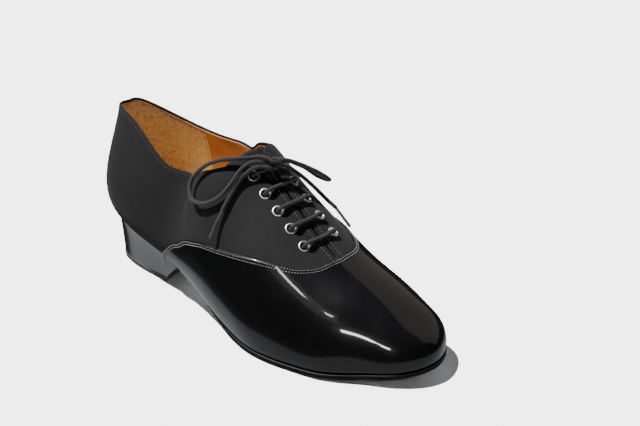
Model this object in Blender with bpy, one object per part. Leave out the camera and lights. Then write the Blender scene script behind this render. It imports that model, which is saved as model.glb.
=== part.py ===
"""Ballroom dance shoe for the right foot, in metres, +X to the toe, +Y to the inner side, +Z up.

The upper is drawn on the surface of a last. A section of the last starts on the sole line, where
upper and sole meet, and rises to a ridge line above the foot. A place on the last is a pair
(row, rise): row counts the sections of the table from the heel back (0) along the outer side to
the toe tip (LAST_ROW) and back along the inner side, and rise runs from the sole line (0) to the
ridge (1).
"""
from collections import namedtuple
import math

import bmesh
import bpy
import numpy as np

# Driving sizes of the last
LENGTH = 0.273
BALL_WIDTH = 0.094
INSTEP_HEIGHT = 0.110
HEEL_RISE = 0.038
TOE_SPRING = 0.008
SLIT_SHIFT = 0.0036
TOE_TURN = 0.0106
HEEL_CENTRE = 0.029

# Thicknesses and clearances
WALL = 0.0020
OVERLAY_THICKNESS = 0.0009
STRIP_THICKNESS = 0.0008
TONGUE_THICKNESS = 0.0018
INSOLE_THICKNESS = 0.0025
SOLE_THICKNESS = 0.0040
GAP = 0.0004
OVERLAY_GAP = 0.0007
SOFT_GAP = 0.0006
TONGUE_GAP = 0.0012

# Openings of the upper
SLIT_HALF_LOW = 0.0005
SLIT_HALF_HIGH = 0.0013
SLIT_FLARE = 0.0168
THROAT_ROW = 10.6
FLARE_ROW = 7.18
TOP_ROW = 6.8
CORNER_ROUNDING = 0.012
CORNER_ROW = 6.92
CORNER_CLIMB = 2.5
CLOSED_ROW = 6.2

# Sole edge
SOLE_MARGIN = 0.0018
WAIST_TUCK = 0.0030
WAIST_BEVEL = 0.0070
EDGE_GROOVE = 0.0004
EDGE_GROOVE_WIDTH = 0.0008
SOLE_CHAMFER = 0.0004

# Heel
BREAST_ROW = 4.34
TIP_WIDTH_SHARE = 0.73
TIP_LENGTH_SHARE = 0.972
TIP_BACK_SHIFT = 0.0040
BREAST_HOLLOW = 0.0050
TIP_THICKNESS = 0.0040
TIP_MARGIN = 0.0002
TIP_CHAMFER = 0.0005
TIP_TREAD_SHARE = 0.985

# Strip up the back of the heel
STRIP_WIDTH = 0.0160
STRIP_TOP_WIDTH = 0.0150
TAIL_LENGTH = 0.0100
TAIL_WIDTH = 0.0110
STRIP_DROP = 0.0006

# Tongue
TONGUE_HALF_WIDTH = 0.0240
TONGUE_TAPER = 0.8
TONGUE_CORNER_POWER = 2.5
TONGUE_TOP_ROW = 6.84
TONGUE_LOW_ROW = 10.2
TONGUE_ROUNDING = 0.40
TONGUE_CREASE_DROP = 0.0022
TONGUE_CREASE_REACH = 0.0080

# Eyelets and laces
EYELET_PAIRS = 5
EYELET_PITCH = 0.0142
EYELET_SETBACK = 0.0135
EYELET_FROM_THROAT = 0.0170
EYELET_FLANGE_RADIUS = 0.0038
EYELET_BORE_RADIUS = 0.0024
EYELET_BARREL_WALL = 0.0004
EYELET_FLANGE_HEIGHT = 0.0009
EYELET_DEPTH = 0.0023
EYELET_SIDES = 10
HOLE_REACH = 0.0025
LACE_DIAMETER = 0.0027
BAR_HEIGHT = 0.0032
BAR_REST = 0.0021
BAR_CREST = 0.0019
AGLET_DIAMETER = 0.0020
KNOT_RADIUS = 0.0024

# Finish of the meshes
COLUMNS_PER_ROW = 3
RISE_STEPS = 9
SEAM_STEPS = 22

# Sections of the last, from the heel back to the toe tip. along: place on the sole line as a share
# of LENGTH. outer, inner: half widths there as shares of half BALL_WIDTH. top_along: place of the
# ridge as a share of LENGTH. top_height: its height above the sole line as a share of
# INSTEP_HEIGHT. top_open: how far the ridge stands open, as a share of half BALL_WIDTH. lean:
# angle of the wall at the sole line. fall: angle of the wall at the ridge. rise, roof: how far the
# wall keeps those angles, as shares of the section's chord. collar_outer, collar_inner: rise of
# the collar line.
Section = namedtuple(
    "Section",
    "along outer inner top_along top_height top_open lean rise fall roof collar_outer collar_inner",
)
SECTIONS = (
    Section(0.002, 0.000, 0.000, 0.008, 0.990, 0.000, 61, 0.26, 84, 0.42, 0.745, 0.745),
    Section(0.018, 0.383, 0.383, 0.028, 0.993, 0.085, 52, 0.32, 84, 0.42, 0.750, 0.752),
    Section(0.064, 0.617, 0.606, 0.110, 1.005, 0.180, 54, 0.34, 84, 0.42, 0.741, 0.697),
    Section(0.137, 0.709, 0.691, 0.220, 1.032, 0.310, 60, 0.29, 84, 0.40, 0.674, 0.648),
    Section(0.214, 0.713, 0.670, 0.322, 1.054, 0.345, 62, 0.28, 78, 0.36, 0.615, 0.655),
    Section(0.293, 0.691, 0.606, 0.407, 1.066, 0.170, 58, 0.28, 56, 0.34, 0.634, 0.695),
    Section(0.374, 0.723, 0.574, 0.454, 1.046, 0.000, 56, 0.31, 27, 0.36, 0.662, 0.705),
    Section(0.454, 0.798, 0.645, 0.502, 1.008, 0.000, 60, 0.34, 13, 0.41, 0.808, 0.815),
    Section(0.535, 0.898, 0.795, 0.564, 0.911, 0.000, 68, 0.37, 12, 0.42, 1.200, 1.200),
    Section(0.608, 0.991, 0.915, 0.634, 0.777, 0.000, 74, 0.41, 8, 0.43, 1.400, 1.400),
    Section(0.681, 0.979, 0.990, 0.703, 0.634, 0.000, 80, 0.46, 3, 0.44, 1.400, 1.400),
    Section(0.755, 0.889, 1.022, 0.770, 0.522, 0.000, 83, 0.50, 0, 0.43, 1.400, 1.400),
    Section(0.828, 0.745, 1.015, 0.828, 0.440, 0.000, 84, 0.53, 0, 0.40, 1.400, 1.400),
    Section(0.901, 0.457, 0.935, 0.879, 0.352, 0.000, 84, 0.52, 0, 0.39, 1.400, 1.400),
    Section(0.963, 0.213, 0.770, 0.916, 0.270, 0.000, 83, 0.49, 0, 0.39, 1.400, 1.400),
    Section(1.002, -0.266, 0.266, 0.938, 0.215, 0.000, 82, 0.48, 0, 0.40, 1.400, 1.400),
)
LAST_ROW = len(SECTIONS) - 1
RING_ROWS = 2 * LAST_ROW

# Height of the sole line behind the tread, as shares of HEEL_RISE, at equal steps along the sole
BOTTOM_STEP = 20 / 273
BOTTOM_SHARES = (1.02, 0.98, 0.93, 0.85, 0.735, 0.575, 0.39, 0.195, 0.0, 0.0, 0.0, 0.0)
SPRING_START = 0.714
SPRING_END = 1.0

# Where the vamp's top edge runs, from the heel breast to the throat
SeamPoint = namedtuple("SeamPoint", "row rise")
VAMP_SEAM = (
    SeamPoint(4.44, 0.000),
    SeamPoint(4.54, 0.035),
    SeamPoint(4.68, 0.092),
    SeamPoint(4.84, 0.133),
    SeamPoint(5.11, 0.198),
    SeamPoint(5.44, 0.254),
    SeamPoint(6.14, 0.325),
    SeamPoint(6.66, 0.365),
    SeamPoint(7.24, 0.420),
    SeamPoint(7.99, 0.490),
    SeamPoint(8.91, 0.562),
    SeamPoint(9.55, 0.622),
    SeamPoint(10.07, 0.684),
    SeamPoint(10.34, 0.738),
    SeamPoint(10.53, 0.800),
    SeamPoint(10.62, 0.870),
    SeamPoint(10.64, 1.000),
)

# Bow, in metres from the heel back: the knot's centre and the routes of its cords
KNOT_CENTRE = (0.1510, -0.0050, 0.1170)
KNOT_AXIS = (0.0, 1.0, 0.0)
KNOT_OPENING = 40
LOOP_NEAR = (
    (0.1522, -0.0077, 0.1189), (0.1482, -0.0098, 0.1212), (0.1434, -0.0122, 0.1216),
    (0.1397, -0.0152, 0.1206), (0.1350, -0.0210, 0.1205), (0.1251, -0.0288, 0.1186),
    (0.1150, -0.0335, 0.1126), (0.1082, -0.0372, 0.1038), (0.1080, -0.0405, 0.0970),
    (0.1137, -0.0438, 0.0922), (0.1220, -0.0439, 0.0921), (0.1296, -0.0413, 0.0952),
    (0.1352, -0.0368, 0.1007), (0.1378, -0.0305, 0.1080), (0.1389, -0.0239, 0.1146),
    (0.1415, -0.0166, 0.1184), (0.1455, -0.0125, 0.1187), (0.1488, -0.0077, 0.1176),
)
END_NEAR = (
    (0.1517, -0.0077, 0.1151), (0.1508, -0.0092, 0.1153), (0.1491, -0.0110, 0.1158),
    (0.1468, -0.0128, 0.1158), (0.1445, -0.0160, 0.1154), (0.1424, -0.0203, 0.1136),
    (0.1404, -0.0251, 0.1096),
    (0.1395, -0.0301, 0.1041), (0.1390, -0.0351, 0.0979), (0.1381, -0.0397, 0.0915),
)
AGLET_NEAR = ((0.1380, -0.0400, 0.0910), (0.1354, -0.0490, 0.0738))
LOOP_FAR = (
    (0.1522, -0.0023, 0.1185), (0.1543, 0.0022, 0.1180), (0.1560, 0.0085, 0.1148),
    (0.1575, 0.0170, 0.1095), (0.1590, 0.0250, 0.1040), (0.1605, 0.0320, 0.0985),
    (0.1605, 0.0365, 0.0945), (0.1585, 0.0385, 0.0925), (0.1555, 0.0370, 0.0928),
    (0.1520, 0.0320, 0.0965), (0.1495, 0.0250, 0.1030), (0.1487, 0.0170, 0.1085),
    (0.1487, 0.0095, 0.1132), (0.1488, 0.0025, 0.1168), (0.1491, -0.0023, 0.1176),
)
END_FAR = (
    (0.1515, -0.0023, 0.1150), (0.1527, 0.0015, 0.1136), (0.1548, 0.0060, 0.1108),
    (0.1575, 0.0122, 0.1047), (0.1592, 0.0186, 0.0978), (0.1608, 0.0241, 0.0914),
    (0.1646, 0.0284, 0.0848), (0.1717, 0.0311, 0.0792),
)
AGLET_FAR = ((0.1723, 0.0312, 0.0787), (0.1835, 0.0322, 0.0690))


def basis(fraction):
    """Weights of the four control rows round a place in a uniform cubic spline."""
    f = fraction
    return (
        (1 - f) ** 3 / 6,
        (3 * f**3 - 6 * f**2 + 4) / 6,
        (-3 * f**3 + 3 * f**2 + 3 * f + 1) / 6,
        f**3 / 6,
    )


def through(values):
    """Control values whose closed spline passes through the given values."""
    count = len(values)
    matrix = np.zeros((count, count))
    for i in range(count):
        matrix[i, i] = 4 / 6
        matrix[i, (i + 1) % count] = 1 / 6
        matrix[i, i - 1] = 1 / 6
    return np.linalg.solve(matrix, values)


def along_ring(controls, row):
    """Value of a closed spline at a row."""
    low = np.floor(row).astype(int)
    weights = basis(row - low)
    return sum(weights[k] * controls[(low - 1 + k) % len(controls)] for k in range(4))


def ring_of(outer_column, inner_column, outer_sign=1):
    """Values of a column right round the last, outer side first."""
    outer = [outer_sign * getattr(section, outer_column) for section in SECTIONS]
    inner = [getattr(section, inner_column) for section in SECTIONS]
    return np.array(outer + inner[-2:0:-1])


HALF = BALL_WIDTH / 2
FOOT_X = through(ring_of("along", "along")) * LENGTH
FOOT_Y = through(ring_of("outer", "inner", -1)) * HALF
TOP_X = through(ring_of("top_along", "top_along")) * LENGTH
TOP_HEIGHT = through(ring_of("top_height", "top_height")) * INSTEP_HEIGHT
TOP_OPEN = ring_of("top_open", "top_open", -1) * HALF
LEAN = np.radians(ring_of("lean", "lean"))
RISE = ring_of("rise", "rise")
FALL = np.radians(ring_of("fall", "fall"))
ROOF = ring_of("roof", "roof")
COLLAR = through(ring_of("collar_outer", "collar_inner"))


def sole_line(x):
    """Height of the line where upper and sole meet, at x behind or ahead of the heel back."""
    steps = np.clip(np.asarray(x) / (BOTTOM_STEP * LENGTH) + 1, 0, len(BOTTOM_SHARES) - 1)
    low = np.minimum(np.floor(steps), len(BOTTOM_SHARES) - 2).astype(int)
    weights = basis(steps - low)
    shares = np.array(BOTTOM_SHARES)
    top = len(shares) - 1
    share = sum(weights[k] * shares[np.clip(low - 1 + k, 0, top)] for k in range(4))
    spring = np.clip((np.asarray(x) / LENGTH - SPRING_START) / (SPRING_END - SPRING_START), 0, None)
    return SOLE_THICKNESS + HEEL_RISE * share + TOE_SPRING * spring**2


def foot(row):
    """Plan of the sole line: x and y."""
    return along_ring(FOOT_X, row), along_ring(FOOT_Y, row)


def foot_normal(row):
    """Outward direction of the sole line in plan."""
    step = 1e-3
    x1, y1 = foot(row + step)
    x0, y0 = foot(row - step)
    run_x, run_y = x1 - x0, y1 - y0
    size = np.hypot(run_x, run_y)
    return run_y / size * -1.0, run_x / size


def ridge_y(x):
    """How far the ridge lies to the inner side."""
    share = np.clip((x / LENGTH - 0.62) / 0.32, 0, None)
    return TOE_TURN * share**1.6 - SLIT_SHIFT


def folded(row):
    """Row counted on the outer side for a row of either side."""
    row = np.mod(row, RING_ROWS)
    return np.minimum(row, RING_ROWS - row)


def section_points(row):
    """The four points that shape the section of the last at a row."""
    row = np.asarray(row, float)
    foot_x, foot_y = foot(row)
    start = np.stack([foot_x, foot_y, sole_line(foot_x)], -1)
    top_x = along_ring(TOP_X, row)
    top_y = ridge_y(top_x) + along_ring(TOP_OPEN, row)
    top_z = start[..., 2] + along_ring(TOP_HEIGHT, row)
    end = np.stack([top_x, top_y, top_z], -1)
    chord = np.linalg.norm(end - start, axis=-1)

    out_x, out_y = foot_normal(row)
    sign = np.sign(out_x * (foot_x - top_x) + out_y * (foot_y - top_y))
    lean = along_ring(LEAN, row)
    up = np.stack([np.cos(lean) * out_x * sign, np.cos(lean) * out_y * sign, np.sin(lean)], -1)
    low = start + (along_ring(RISE, row) * chord)[..., None] * up

    plan = (start - end)[..., :2]
    plan = plan / np.linalg.norm(plan, axis=-1, keepdims=True)
    near = np.clip(folded(row), 0.1, LAST_ROW - 0.1)
    step = 0.05
    ahead, behind = near + step, near - step
    run_x = along_ring(TOP_X, ahead) - along_ring(TOP_X, behind)
    run_z = along_ring(TOP_HEIGHT, ahead) - along_ring(TOP_HEIGHT, behind)
    run_z = run_z + sole_line(foot(ahead)[0]) - sole_line(foot(behind)[0])
    closed = np.clip(1 - np.abs(along_ring(TOP_OPEN, row)) / 0.003, 0, 1)
    slope = run_z / np.where(np.abs(run_x) < 1e-6, 1e-6, run_x) * closed
    fall = along_ring(FALL, row)
    down = np.stack(
        [
            np.cos(fall) * plan[..., 0],
            np.cos(fall) * plan[..., 1],
            np.cos(fall) * slope * plan[..., 0] - np.sin(fall),
        ],
        -1,
    )
    high = end + (along_ring(ROOF, row) * chord)[..., None] * down
    return start, low, high, end


def last_point(row, rise):
    """Point of the last at a row and a rise."""
    start, low, high, end = section_points(row)
    v = np.asarray(rise, float)[..., None]
    return (1 - v) ** 3 * start + 3 * v * (1 - v) ** 2 * low + 3 * v**2 * (1 - v) * high + v**3 * end


def wall_normal(row, rise):
    """Unit normal of the last from its slopes along row and rise."""
    step = 2e-3
    run_row = last_point(row + step, rise) - last_point(row - step, rise)
    run_rise = last_point(row, rise + step) - last_point(row, rise - step)
    normal = np.cross(run_row, run_rise)
    return normal / np.linalg.norm(normal, axis=-1, keepdims=True)


def last_normal(row, rise):
    """Outward normal of the last, level where the wall stands on the sole.

    On the closed ridge it is the mean of both sides, so that they stay together when shifted.
    """
    row = np.asarray(row, float)
    rise = np.asarray(rise, float)
    inside = np.clip(rise, 2e-3, 1 - 2e-3)
    normal = wall_normal(row, inside)
    closed = (rise > 0.9999) & (folded(row) > CLOSED_ROW)
    normal = np.where(closed[..., None], normal + wall_normal(RING_ROWS - row, inside), normal)
    level = np.clip(rise / 0.06, 0, 1)
    normal[..., 2] *= level * level * (3 - 2 * level)
    return normal / np.linalg.norm(normal, axis=-1, keepdims=True)


def shifted(row, rise, distance):
    """Point off the last by a distance along its normal."""
    return last_point(row, rise) + last_normal(row, rise) * np.asarray(distance)[..., None]


def rise_at(row, distance):
    """Rise of the place that lies a distance down from the ridge."""
    row = np.asarray(row, float)
    low, high = np.full(row.shape, 0.4), np.ones(row.shape)
    top = last_point(row, np.ones(row.shape))
    for _ in range(30):
        middle = (low + high) / 2
        reach = np.linalg.norm(last_point(row, middle) - top, axis=-1)
        low = np.where(reach > distance, middle, low)
        high = np.where(reach > distance, high, middle)
    return (low + high) / 2


def row_at(rise, distance):
    """Row of the place that lies a distance round from the heel back at each rise."""
    rows = np.linspace(0, 3, 61)
    found = np.empty(rise.shape)
    for place in np.ndindex(rise.shape):
        line = last_point(rows, np.full(rows.shape, rise[place]))
        walked = np.concatenate([[0], np.cumsum(np.linalg.norm(np.diff(line, axis=0), axis=1))])
        found[place] = np.interp(distance[place], walked, rows)
    return found


def slit_half(row):
    """Half of the opening between the facings at a row of the outer side."""
    share = (THROAT_ROW - row) / (THROAT_ROW - FLARE_ROW)
    flare = np.clip((FLARE_ROW - row) / (FLARE_ROW - TOP_ROW), 0, 1)
    return SLIT_HALF_LOW + (SLIT_HALF_HIGH - SLIT_HALF_LOW) * share + SLIT_FLARE * flare**1.6


def rim(row):
    """Rise of the upper's top edge: the collar, the facing's edge or the closed ridge."""
    row = np.asarray(row, float)
    side = folded(row)
    climb = CORNER_CLIMB * np.clip(side - CORNER_ROW, 0, None)
    collar = np.where(side < 8, along_ring(COLLAR, row) + climb, 2.0)
    facing = np.where(side > 5.5, rise_at(row, np.maximum(slit_half(side), 0)), 2.0)
    spread = np.sqrt((collar - facing) ** 2 + CORNER_ROUNDING**2)
    edge = np.minimum((collar + facing - spread) / 2, 1.0)
    return np.where(side >= THROAT_ROW - 1e-9, 1.0, edge)


def new_object(name, mesh, finish, parent):
    """Object of a mesh with its own material."""
    obj = bpy.data.objects.new(name, mesh)
    bpy.context.scene.collection.objects.link(obj)
    obj.parent = parent
    mesh.materials.append(finish)
    mesh.shade_smooth()
    mesh.set_sharp_from_angle(angle=math.radians(40))
    return obj


def material(name, colour, roughness, metallic=0.0, coat=0.0):
    """Principled material of one sub-part."""
    made = bpy.data.materials.new(name)
    made.use_nodes = True
    shader = made.node_tree.nodes["Principled BSDF"]
    shader.inputs["Base Color"].default_value = (*colour, 1.0)
    shader.inputs["Roughness"].default_value = roughness
    shader.inputs["Metallic"].default_value = metallic
    shader.inputs["Coat Weight"].default_value = coat
    made.diffuse_color = (*colour, 1.0)
    return made


def mesh_of(name, points, faces):
    """Closed mesh from points and faces, welded where points coincide and facing outwards."""
    made = bmesh.new()
    corners = [made.verts.new(point) for point in points]
    made.verts.ensure_lookup_table()
    for face in faces:
        made.faces.new([corners[i] for i in face])
    bmesh.ops.remove_doubles(made, verts=made.verts, dist=2e-6)
    bmesh.ops.dissolve_degenerate(made, edges=made.edges, dist=1e-7)
    bmesh.ops.recalc_face_normals(made, faces=made.faces)
    if made.calc_volume(signed=True) < 0:
        bmesh.ops.reverse_faces(made, faces=made.faces)
    mesh = bpy.data.meshes.new(name)
    made.to_mesh(mesh)
    made.free()
    return mesh


def slab(outer, inner, wrapped):
    """Points and faces of a wall between two sheets of equal grids.

    The first index runs round the wall, and wraps where wrapped is true. Rims close the ends of
    the second index, and of the first where it doesn't wrap. A rim whose both corners are welded
    to the other side is left out later, because its faces coincide in pairs.
    """
    columns, rows = outer.shape[:2]
    points = np.concatenate([outer.reshape(-1, 3), inner.reshape(-1, 3)])
    offset = columns * rows
    faces = []
    last = columns if wrapped else columns - 1
    for i in range(last):
        j = (i + 1) % columns
        for k in range(rows - 1):
            a, b, c, d = i * rows + k, j * rows + k, j * rows + k + 1, i * rows + k + 1
            faces.append((a, b, c, d))
            faces.append((offset + d, offset + c, offset + b, offset + a))
        for k, flip in ((0, False), (rows - 1, True)):
            a, b = i * rows + k, j * rows + k
            face = (a, offset + a, offset + b, b)
            faces.append(face[::-1] if flip else face)
    if not wrapped:
        for i, flip in ((0, True), (columns - 1, False)):
            for k in range(rows - 1):
                a, b = i * rows + k, i * rows + k + 1
                face = (a, offset + a, offset + b, b)
                faces.append(face[::-1] if flip else face)
    return points, faces


def without_closed_rims(points, faces):
    """Faces without the pairs that coincide along the closed ridge."""
    _, names = np.unique(np.round(points, 7), axis=0, return_inverse=True)
    names = names.reshape(-1)
    count = {}
    for face in faces:
        key = tuple(sorted(set(names[list(face)])))
        count[key] = count.get(key, 0) + 1
    kept = []
    for face in faces:
        corners = set(names[list(face)])
        if len(corners) < 3 or count[tuple(sorted(corners))] > 1:
            continue
        kept.append(face)
    return kept


def rows_between(first, last, per_row):
    """Rows at equal steps, both ends included."""
    steps = max(2, round(abs(last - first) * per_row))
    return np.linspace(first, last, steps + 1)


def upper_rows():
    """Rows of the upper's columns, right round, with one at each end of the throat's slit."""
    corner = rows_between(TOP_ROW, FLARE_ROW, 4 * COLUMNS_PER_ROW)
    facing = rows_between(FLARE_ROW, THROAT_ROW, COLUMNS_PER_ROW)
    outer = np.concatenate(
        [
            rows_between(0, TOP_ROW, COLUMNS_PER_ROW)[:-1],
            corner[:-1],
            facing[:-1],
            rows_between(THROAT_ROW, LAST_ROW, COLUMNS_PER_ROW),
        ]
    )
    return np.concatenate([outer, RING_ROWS - outer[-2:0:-1]])


def make_upper(parent):
    rows = upper_rows()
    steps = np.linspace(0, 1, RISE_STEPS + 1) ** 0.9
    row = np.repeat(rows[:, None], len(steps), axis=1)
    rise = rim(rows)[:, None] * steps[None, :]
    outer = last_point(row, rise)
    inner = shifted(row, rise, np.full(row.shape, -WALL))
    points, faces = slab(outer, inner, True)
    mesh = mesh_of("upper", points, without_closed_rims(points, faces))
    finish = material("nubuck", (0.022, 0.020, 0.021), 0.9)
    return new_object("upper", mesh, finish, parent)


def seam_curve(count):
    """Rows and rises at equal steps along the vamp's top edge."""
    knots = np.array(VAMP_SEAM)
    padded = np.concatenate([[2 * knots[0] - knots[1]], knots, [knots[-1] + [0, 0.1]]])
    samples = []
    for i in range(1, len(padded) - 2):
        a, b, c, d = padded[i - 1 : i + 3]
        for f in np.linspace(0, 1, 12, endpoint=False):
            samples.append(
                0.5 * (2 * b + (c - a) * f + (2 * a - 5 * b + 4 * c - d) * f**2 + (3 * b - a - 3 * c + d) * f**3)
            )
    samples = np.array(samples + [knots[-1]])
    places = last_point(samples[:, 0], np.clip(samples[:, 1], 0, 1))
    length = np.concatenate([[0], np.cumsum(np.linalg.norm(np.diff(places, axis=0), axis=1))])
    wanted = np.linspace(0, length[-1], count)
    return np.interp(wanted, length, samples[:, 0]), np.interp(wanted, length, samples[:, 1])


def vamp_grid():
    """Rows and rises of the vamp's grid, from wing to wing round the toe."""
    seam_row, seam_rise = seam_curve(SEAM_STEPS)
    throat = VAMP_SEAM[-1].row
    start = VAMP_SEAM[0].row
    low_row = start + (throat - start) * (np.linspace(0, 1, len(seam_row)) ** 0.95)
    ahead = rows_between(throat, LAST_ROW, COLUMNS_PER_ROW)[1:]
    steps = np.linspace(0, 1, RISE_STEPS)
    rows, rises = [], []
    for top, height, low in zip(seam_row, seam_rise, low_row):
        rows.append(low + (top - low) * steps)
        rises.append(height * steps)
    for place in ahead:
        rows.append(np.full(len(steps), place))
        rises.append(steps)
    rows, rises = np.array(rows), np.array(rises)
    rows = np.concatenate([rows, RING_ROWS - rows[-2::-1]])
    rises = np.concatenate([rises, rises[-2::-1]])
    return rows, rises


def make_vamp(parent):
    row, rise = vamp_grid()
    row, rise = row[1:-1], rise[1:-1]
    outer = shifted(row, rise, np.full(row.shape, OVERLAY_GAP + OVERLAY_THICKNESS))
    inner = shifted(row, rise, np.full(row.shape, OVERLAY_GAP))
    points, faces = slab(outer, inner, False)
    mesh = mesh_of("vamp", points, without_closed_rims(points, faces))
    finish = material("patent", (0.008, 0.008, 0.009), 0.12, coat=1.0)
    return new_object("vamp", mesh, finish, parent)


def make_back_strip(parent):
    back = np.zeros(2)
    whole = np.linalg.norm(np.diff(last_point(back, np.array([0.0, rim(back)[0]])), axis=0))
    tab = TAIL_WIDTH / whole
    heights = np.concatenate([np.linspace(0, 1 - tab, 7), np.linspace(1 - tab, 1, 7)[1:]])
    across = np.linspace(-1, 1, 7)
    height, side = np.meshgrid(heights, across, indexing="ij")
    half = (STRIP_WIDTH + (STRIP_TOP_WIDTH - STRIP_WIDTH) * height) / 2
    share = np.clip((height - 1 + tab / 2) / (tab / 2), -1, 1)
    tail = TAIL_LENGTH * np.sqrt(1 - share**2)
    reach = side * half + np.clip(side, 0, 1) * tail
    row = -np.sign(reach) * row_at(height * rim(back)[0], np.abs(reach))
    rise = height * (rim(row) - STRIP_DROP / whole)
    outer = shifted(row, rise, np.full(row.shape, OVERLAY_GAP + STRIP_THICKNESS))
    inner = shifted(row, rise, np.full(row.shape, OVERLAY_GAP))
    points, faces = slab(outer, inner, False)
    mesh = mesh_of("back_strip", points, faces)
    finish = material("patent_strip", (0.008, 0.008, 0.009), 0.12, coat=1.0)
    return new_object("back_strip", mesh, finish, parent)


def make_tongue(parent):
    across = np.linspace(-1, 1, 11)
    steps = np.linspace(0, 1, 15)
    step, side = np.meshgrid(steps, across, indexing="ij")
    top = TONGUE_TOP_ROW + TONGUE_ROUNDING * np.abs(side) ** TONGUE_CORNER_POWER
    row = TONGUE_LOW_ROW + (top - TONGUE_LOW_ROW) * step
    distance = np.abs(side) * TONGUE_HALF_WIDTH * (TONGUE_TAPER + (1 - TONGUE_TAPER) * step)
    rise = np.where(np.abs(side) < 1e-9, 1.0, rise_at(row, distance))
    row = np.where(side > 0, RING_ROWS - row, row)
    crease = np.clip(1 - distance / TONGUE_CREASE_REACH, 0, 1) ** 2 * TONGUE_CREASE_DROP
    top_sheet = shifted(row, rise, -WALL - TONGUE_GAP - crease)
    low_sheet = shifted(row, rise, -WALL - TONGUE_GAP - TONGUE_THICKNESS - crease)
    points, faces = slab(top_sheet, low_sheet, False)
    mesh = mesh_of("tongue", points, faces)
    finish = material("tongue_nubuck", (0.020, 0.018, 0.018), 0.95)
    return new_object("tongue", mesh, finish, parent)


def plan_ring(rows, inset):
    """Plan of the sole line moved inwards by an inset that may vary."""
    x, y = foot(rows)
    out_x, out_y = foot_normal(rows)
    sign = np.where(out_x * (x - LENGTH * 0.55) + out_y * y > 0, 1.0, -1.0)
    return x - out_x * sign * inset, y - out_y * sign * inset


def make_insole(parent):
    outer = rows_between(0, LAST_ROW, COLUMNS_PER_ROW)
    rows = np.concatenate([outer, RING_ROWS - outer[-2:0:-1]])
    x, y = plan_ring(rows, np.full(rows.shape, WALL + SOFT_GAP))
    low = np.stack([x, y, sole_line(x)], -1)
    high = low + (0, 0, INSOLE_THICKNESS)
    mesh = mesh_of("insole", *slab_between(low, high))
    finish = material("insole_leather", (0.55, 0.36, 0.16), 0.6)
    return new_object("insole", mesh, finish, parent)


def slab_between(low, high):
    """Points and faces of a slab whose faces span from the outer to the inner side."""
    count = len(low)
    points = np.concatenate([low, high])
    faces = []
    half = count // 2
    for i in range(count):
        j = (i + 1) % count
        faces.append((i, j, count + j, count + i))
    for i in range(half):
        a, b = i, i + 1
        c, d = (count - i - 1) % count, (count - i) % count
        bottom = [a, b, c, d] if i > 0 else [a, b, c]
        if i == half - 1:
            bottom = [a, b, d]
        faces.append(tuple(bottom[::-1]))
        faces.append(tuple(count + k for k in bottom))
    return points, faces


def waist(x):
    """One in the middle of the waist, none at the ball, by x."""
    share = np.clip((x / LENGTH - 0.24) / 0.32, 0, 1)
    return 1 - share * share * (3 - 2 * share)


def make_outsole(parent):
    outer = rows_between(BREAST_ROW + 0.02, LAST_ROW, COLUMNS_PER_ROW)
    rows = np.concatenate([outer, RING_ROWS - outer[-2::-1]])
    x, _ = foot(rows)
    tuck = waist(x)
    edge_inset = -SOLE_MARGIN + (SOLE_MARGIN + WAIST_TUCK) * tuck
    groove = np.full(rows.shape, EDGE_GROOVE)
    middle = SOLE_THICKNESS / 2
    levels = (
        (0.0, edge_inset),
        (middle - EDGE_GROOVE_WIDTH / 2, edge_inset),
        (middle, edge_inset + groove),
        (middle + EDGE_GROOVE_WIDTH / 2, edge_inset),
        (SOLE_THICKNESS - GAP - SOLE_CHAMFER, edge_inset + WAIST_BEVEL * 0.6 * tuck),
        (SOLE_THICKNESS - GAP, edge_inset + SOLE_CHAMFER + WAIST_BEVEL * tuck),
    )
    rings = []
    for depth, inset in levels:
        ring_x, ring_y = plan_ring(rows, inset)
        ring_x = np.maximum(ring_x, x[0])
        rings.append(np.stack([ring_x, ring_y, sole_line(ring_x) - GAP - depth], -1))
    count = len(rows)
    points = np.concatenate(rings)
    faces = []
    for k in range(len(rings) - 1):
        for i in range(count):
            j = (i + 1) % count
            faces.append((k * count + i, k * count + j, (k + 1) * count + j, (k + 1) * count + i))
    half = (count - 1) // 2
    bottom = (len(rings) - 1) * count
    for i in range(half):
        a, b, c, d = i, i + 1, count - 2 - i, count - 1 - i
        cap = [a, b, c, d] if i < half - 1 else [a, b, d]
        faces.append(tuple(cap))
        faces.append(tuple(bottom + k for k in cap[::-1]))
    mesh = mesh_of("outsole", points, faces)
    finish = material("sole_edge", (0.045, 0.045, 0.047), 0.5)
    return new_object("outsole", mesh, finish, parent)


def heel_outline(share, margin=0.0):
    """Plan of the heel at a share of the way down from the seat to the tip's plane."""
    rows = rows_between(-BREAST_ROW, BREAST_ROW, COLUMNS_PER_ROW)
    x, y = plan_ring(rows, GAP - margin)
    width = 1 - (1 - TIP_WIDTH_SHARE) * share**0.85
    length = 1 - (1 - TIP_LENGTH_SHARE) * share
    x = x * length - TIP_BACK_SHIFT * share
    y = y * width
    breast = np.linspace(-1, 1, 9)[1:-1]
    breast_y = (y[-1] + y[0]) / 2 - breast * (y[-1] - y[0]) / 2 * -1.0
    ends_x = (x[0] + x[-1]) / 2
    hollow = BREAST_HOLLOW * share * (2 - share)
    breast_x = ends_x - hollow * (1 - breast**2)
    order = np.argsort(breast_y) if y[-1] < y[0] else np.argsort(-breast_y)
    return np.concatenate([x, breast_x[order]]), np.concatenate([y, breast_y[order]])


def make_heel(parent):
    shares = np.linspace(0, 1, 7)
    rings = []
    for share in shares:
        x, y = heel_outline(share)
        seat = sole_line(x) - GAP
        z = seat + (TIP_THICKNESS + GAP - seat) * share
        rings.append(np.stack([x, y, z], -1))
    mesh = mesh_of("heel", *lofted(rings))
    finish = material("heel_cover", (0.010, 0.010, 0.011), 0.15, coat=1.0)
    return new_object("heel", mesh, finish, parent)


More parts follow.
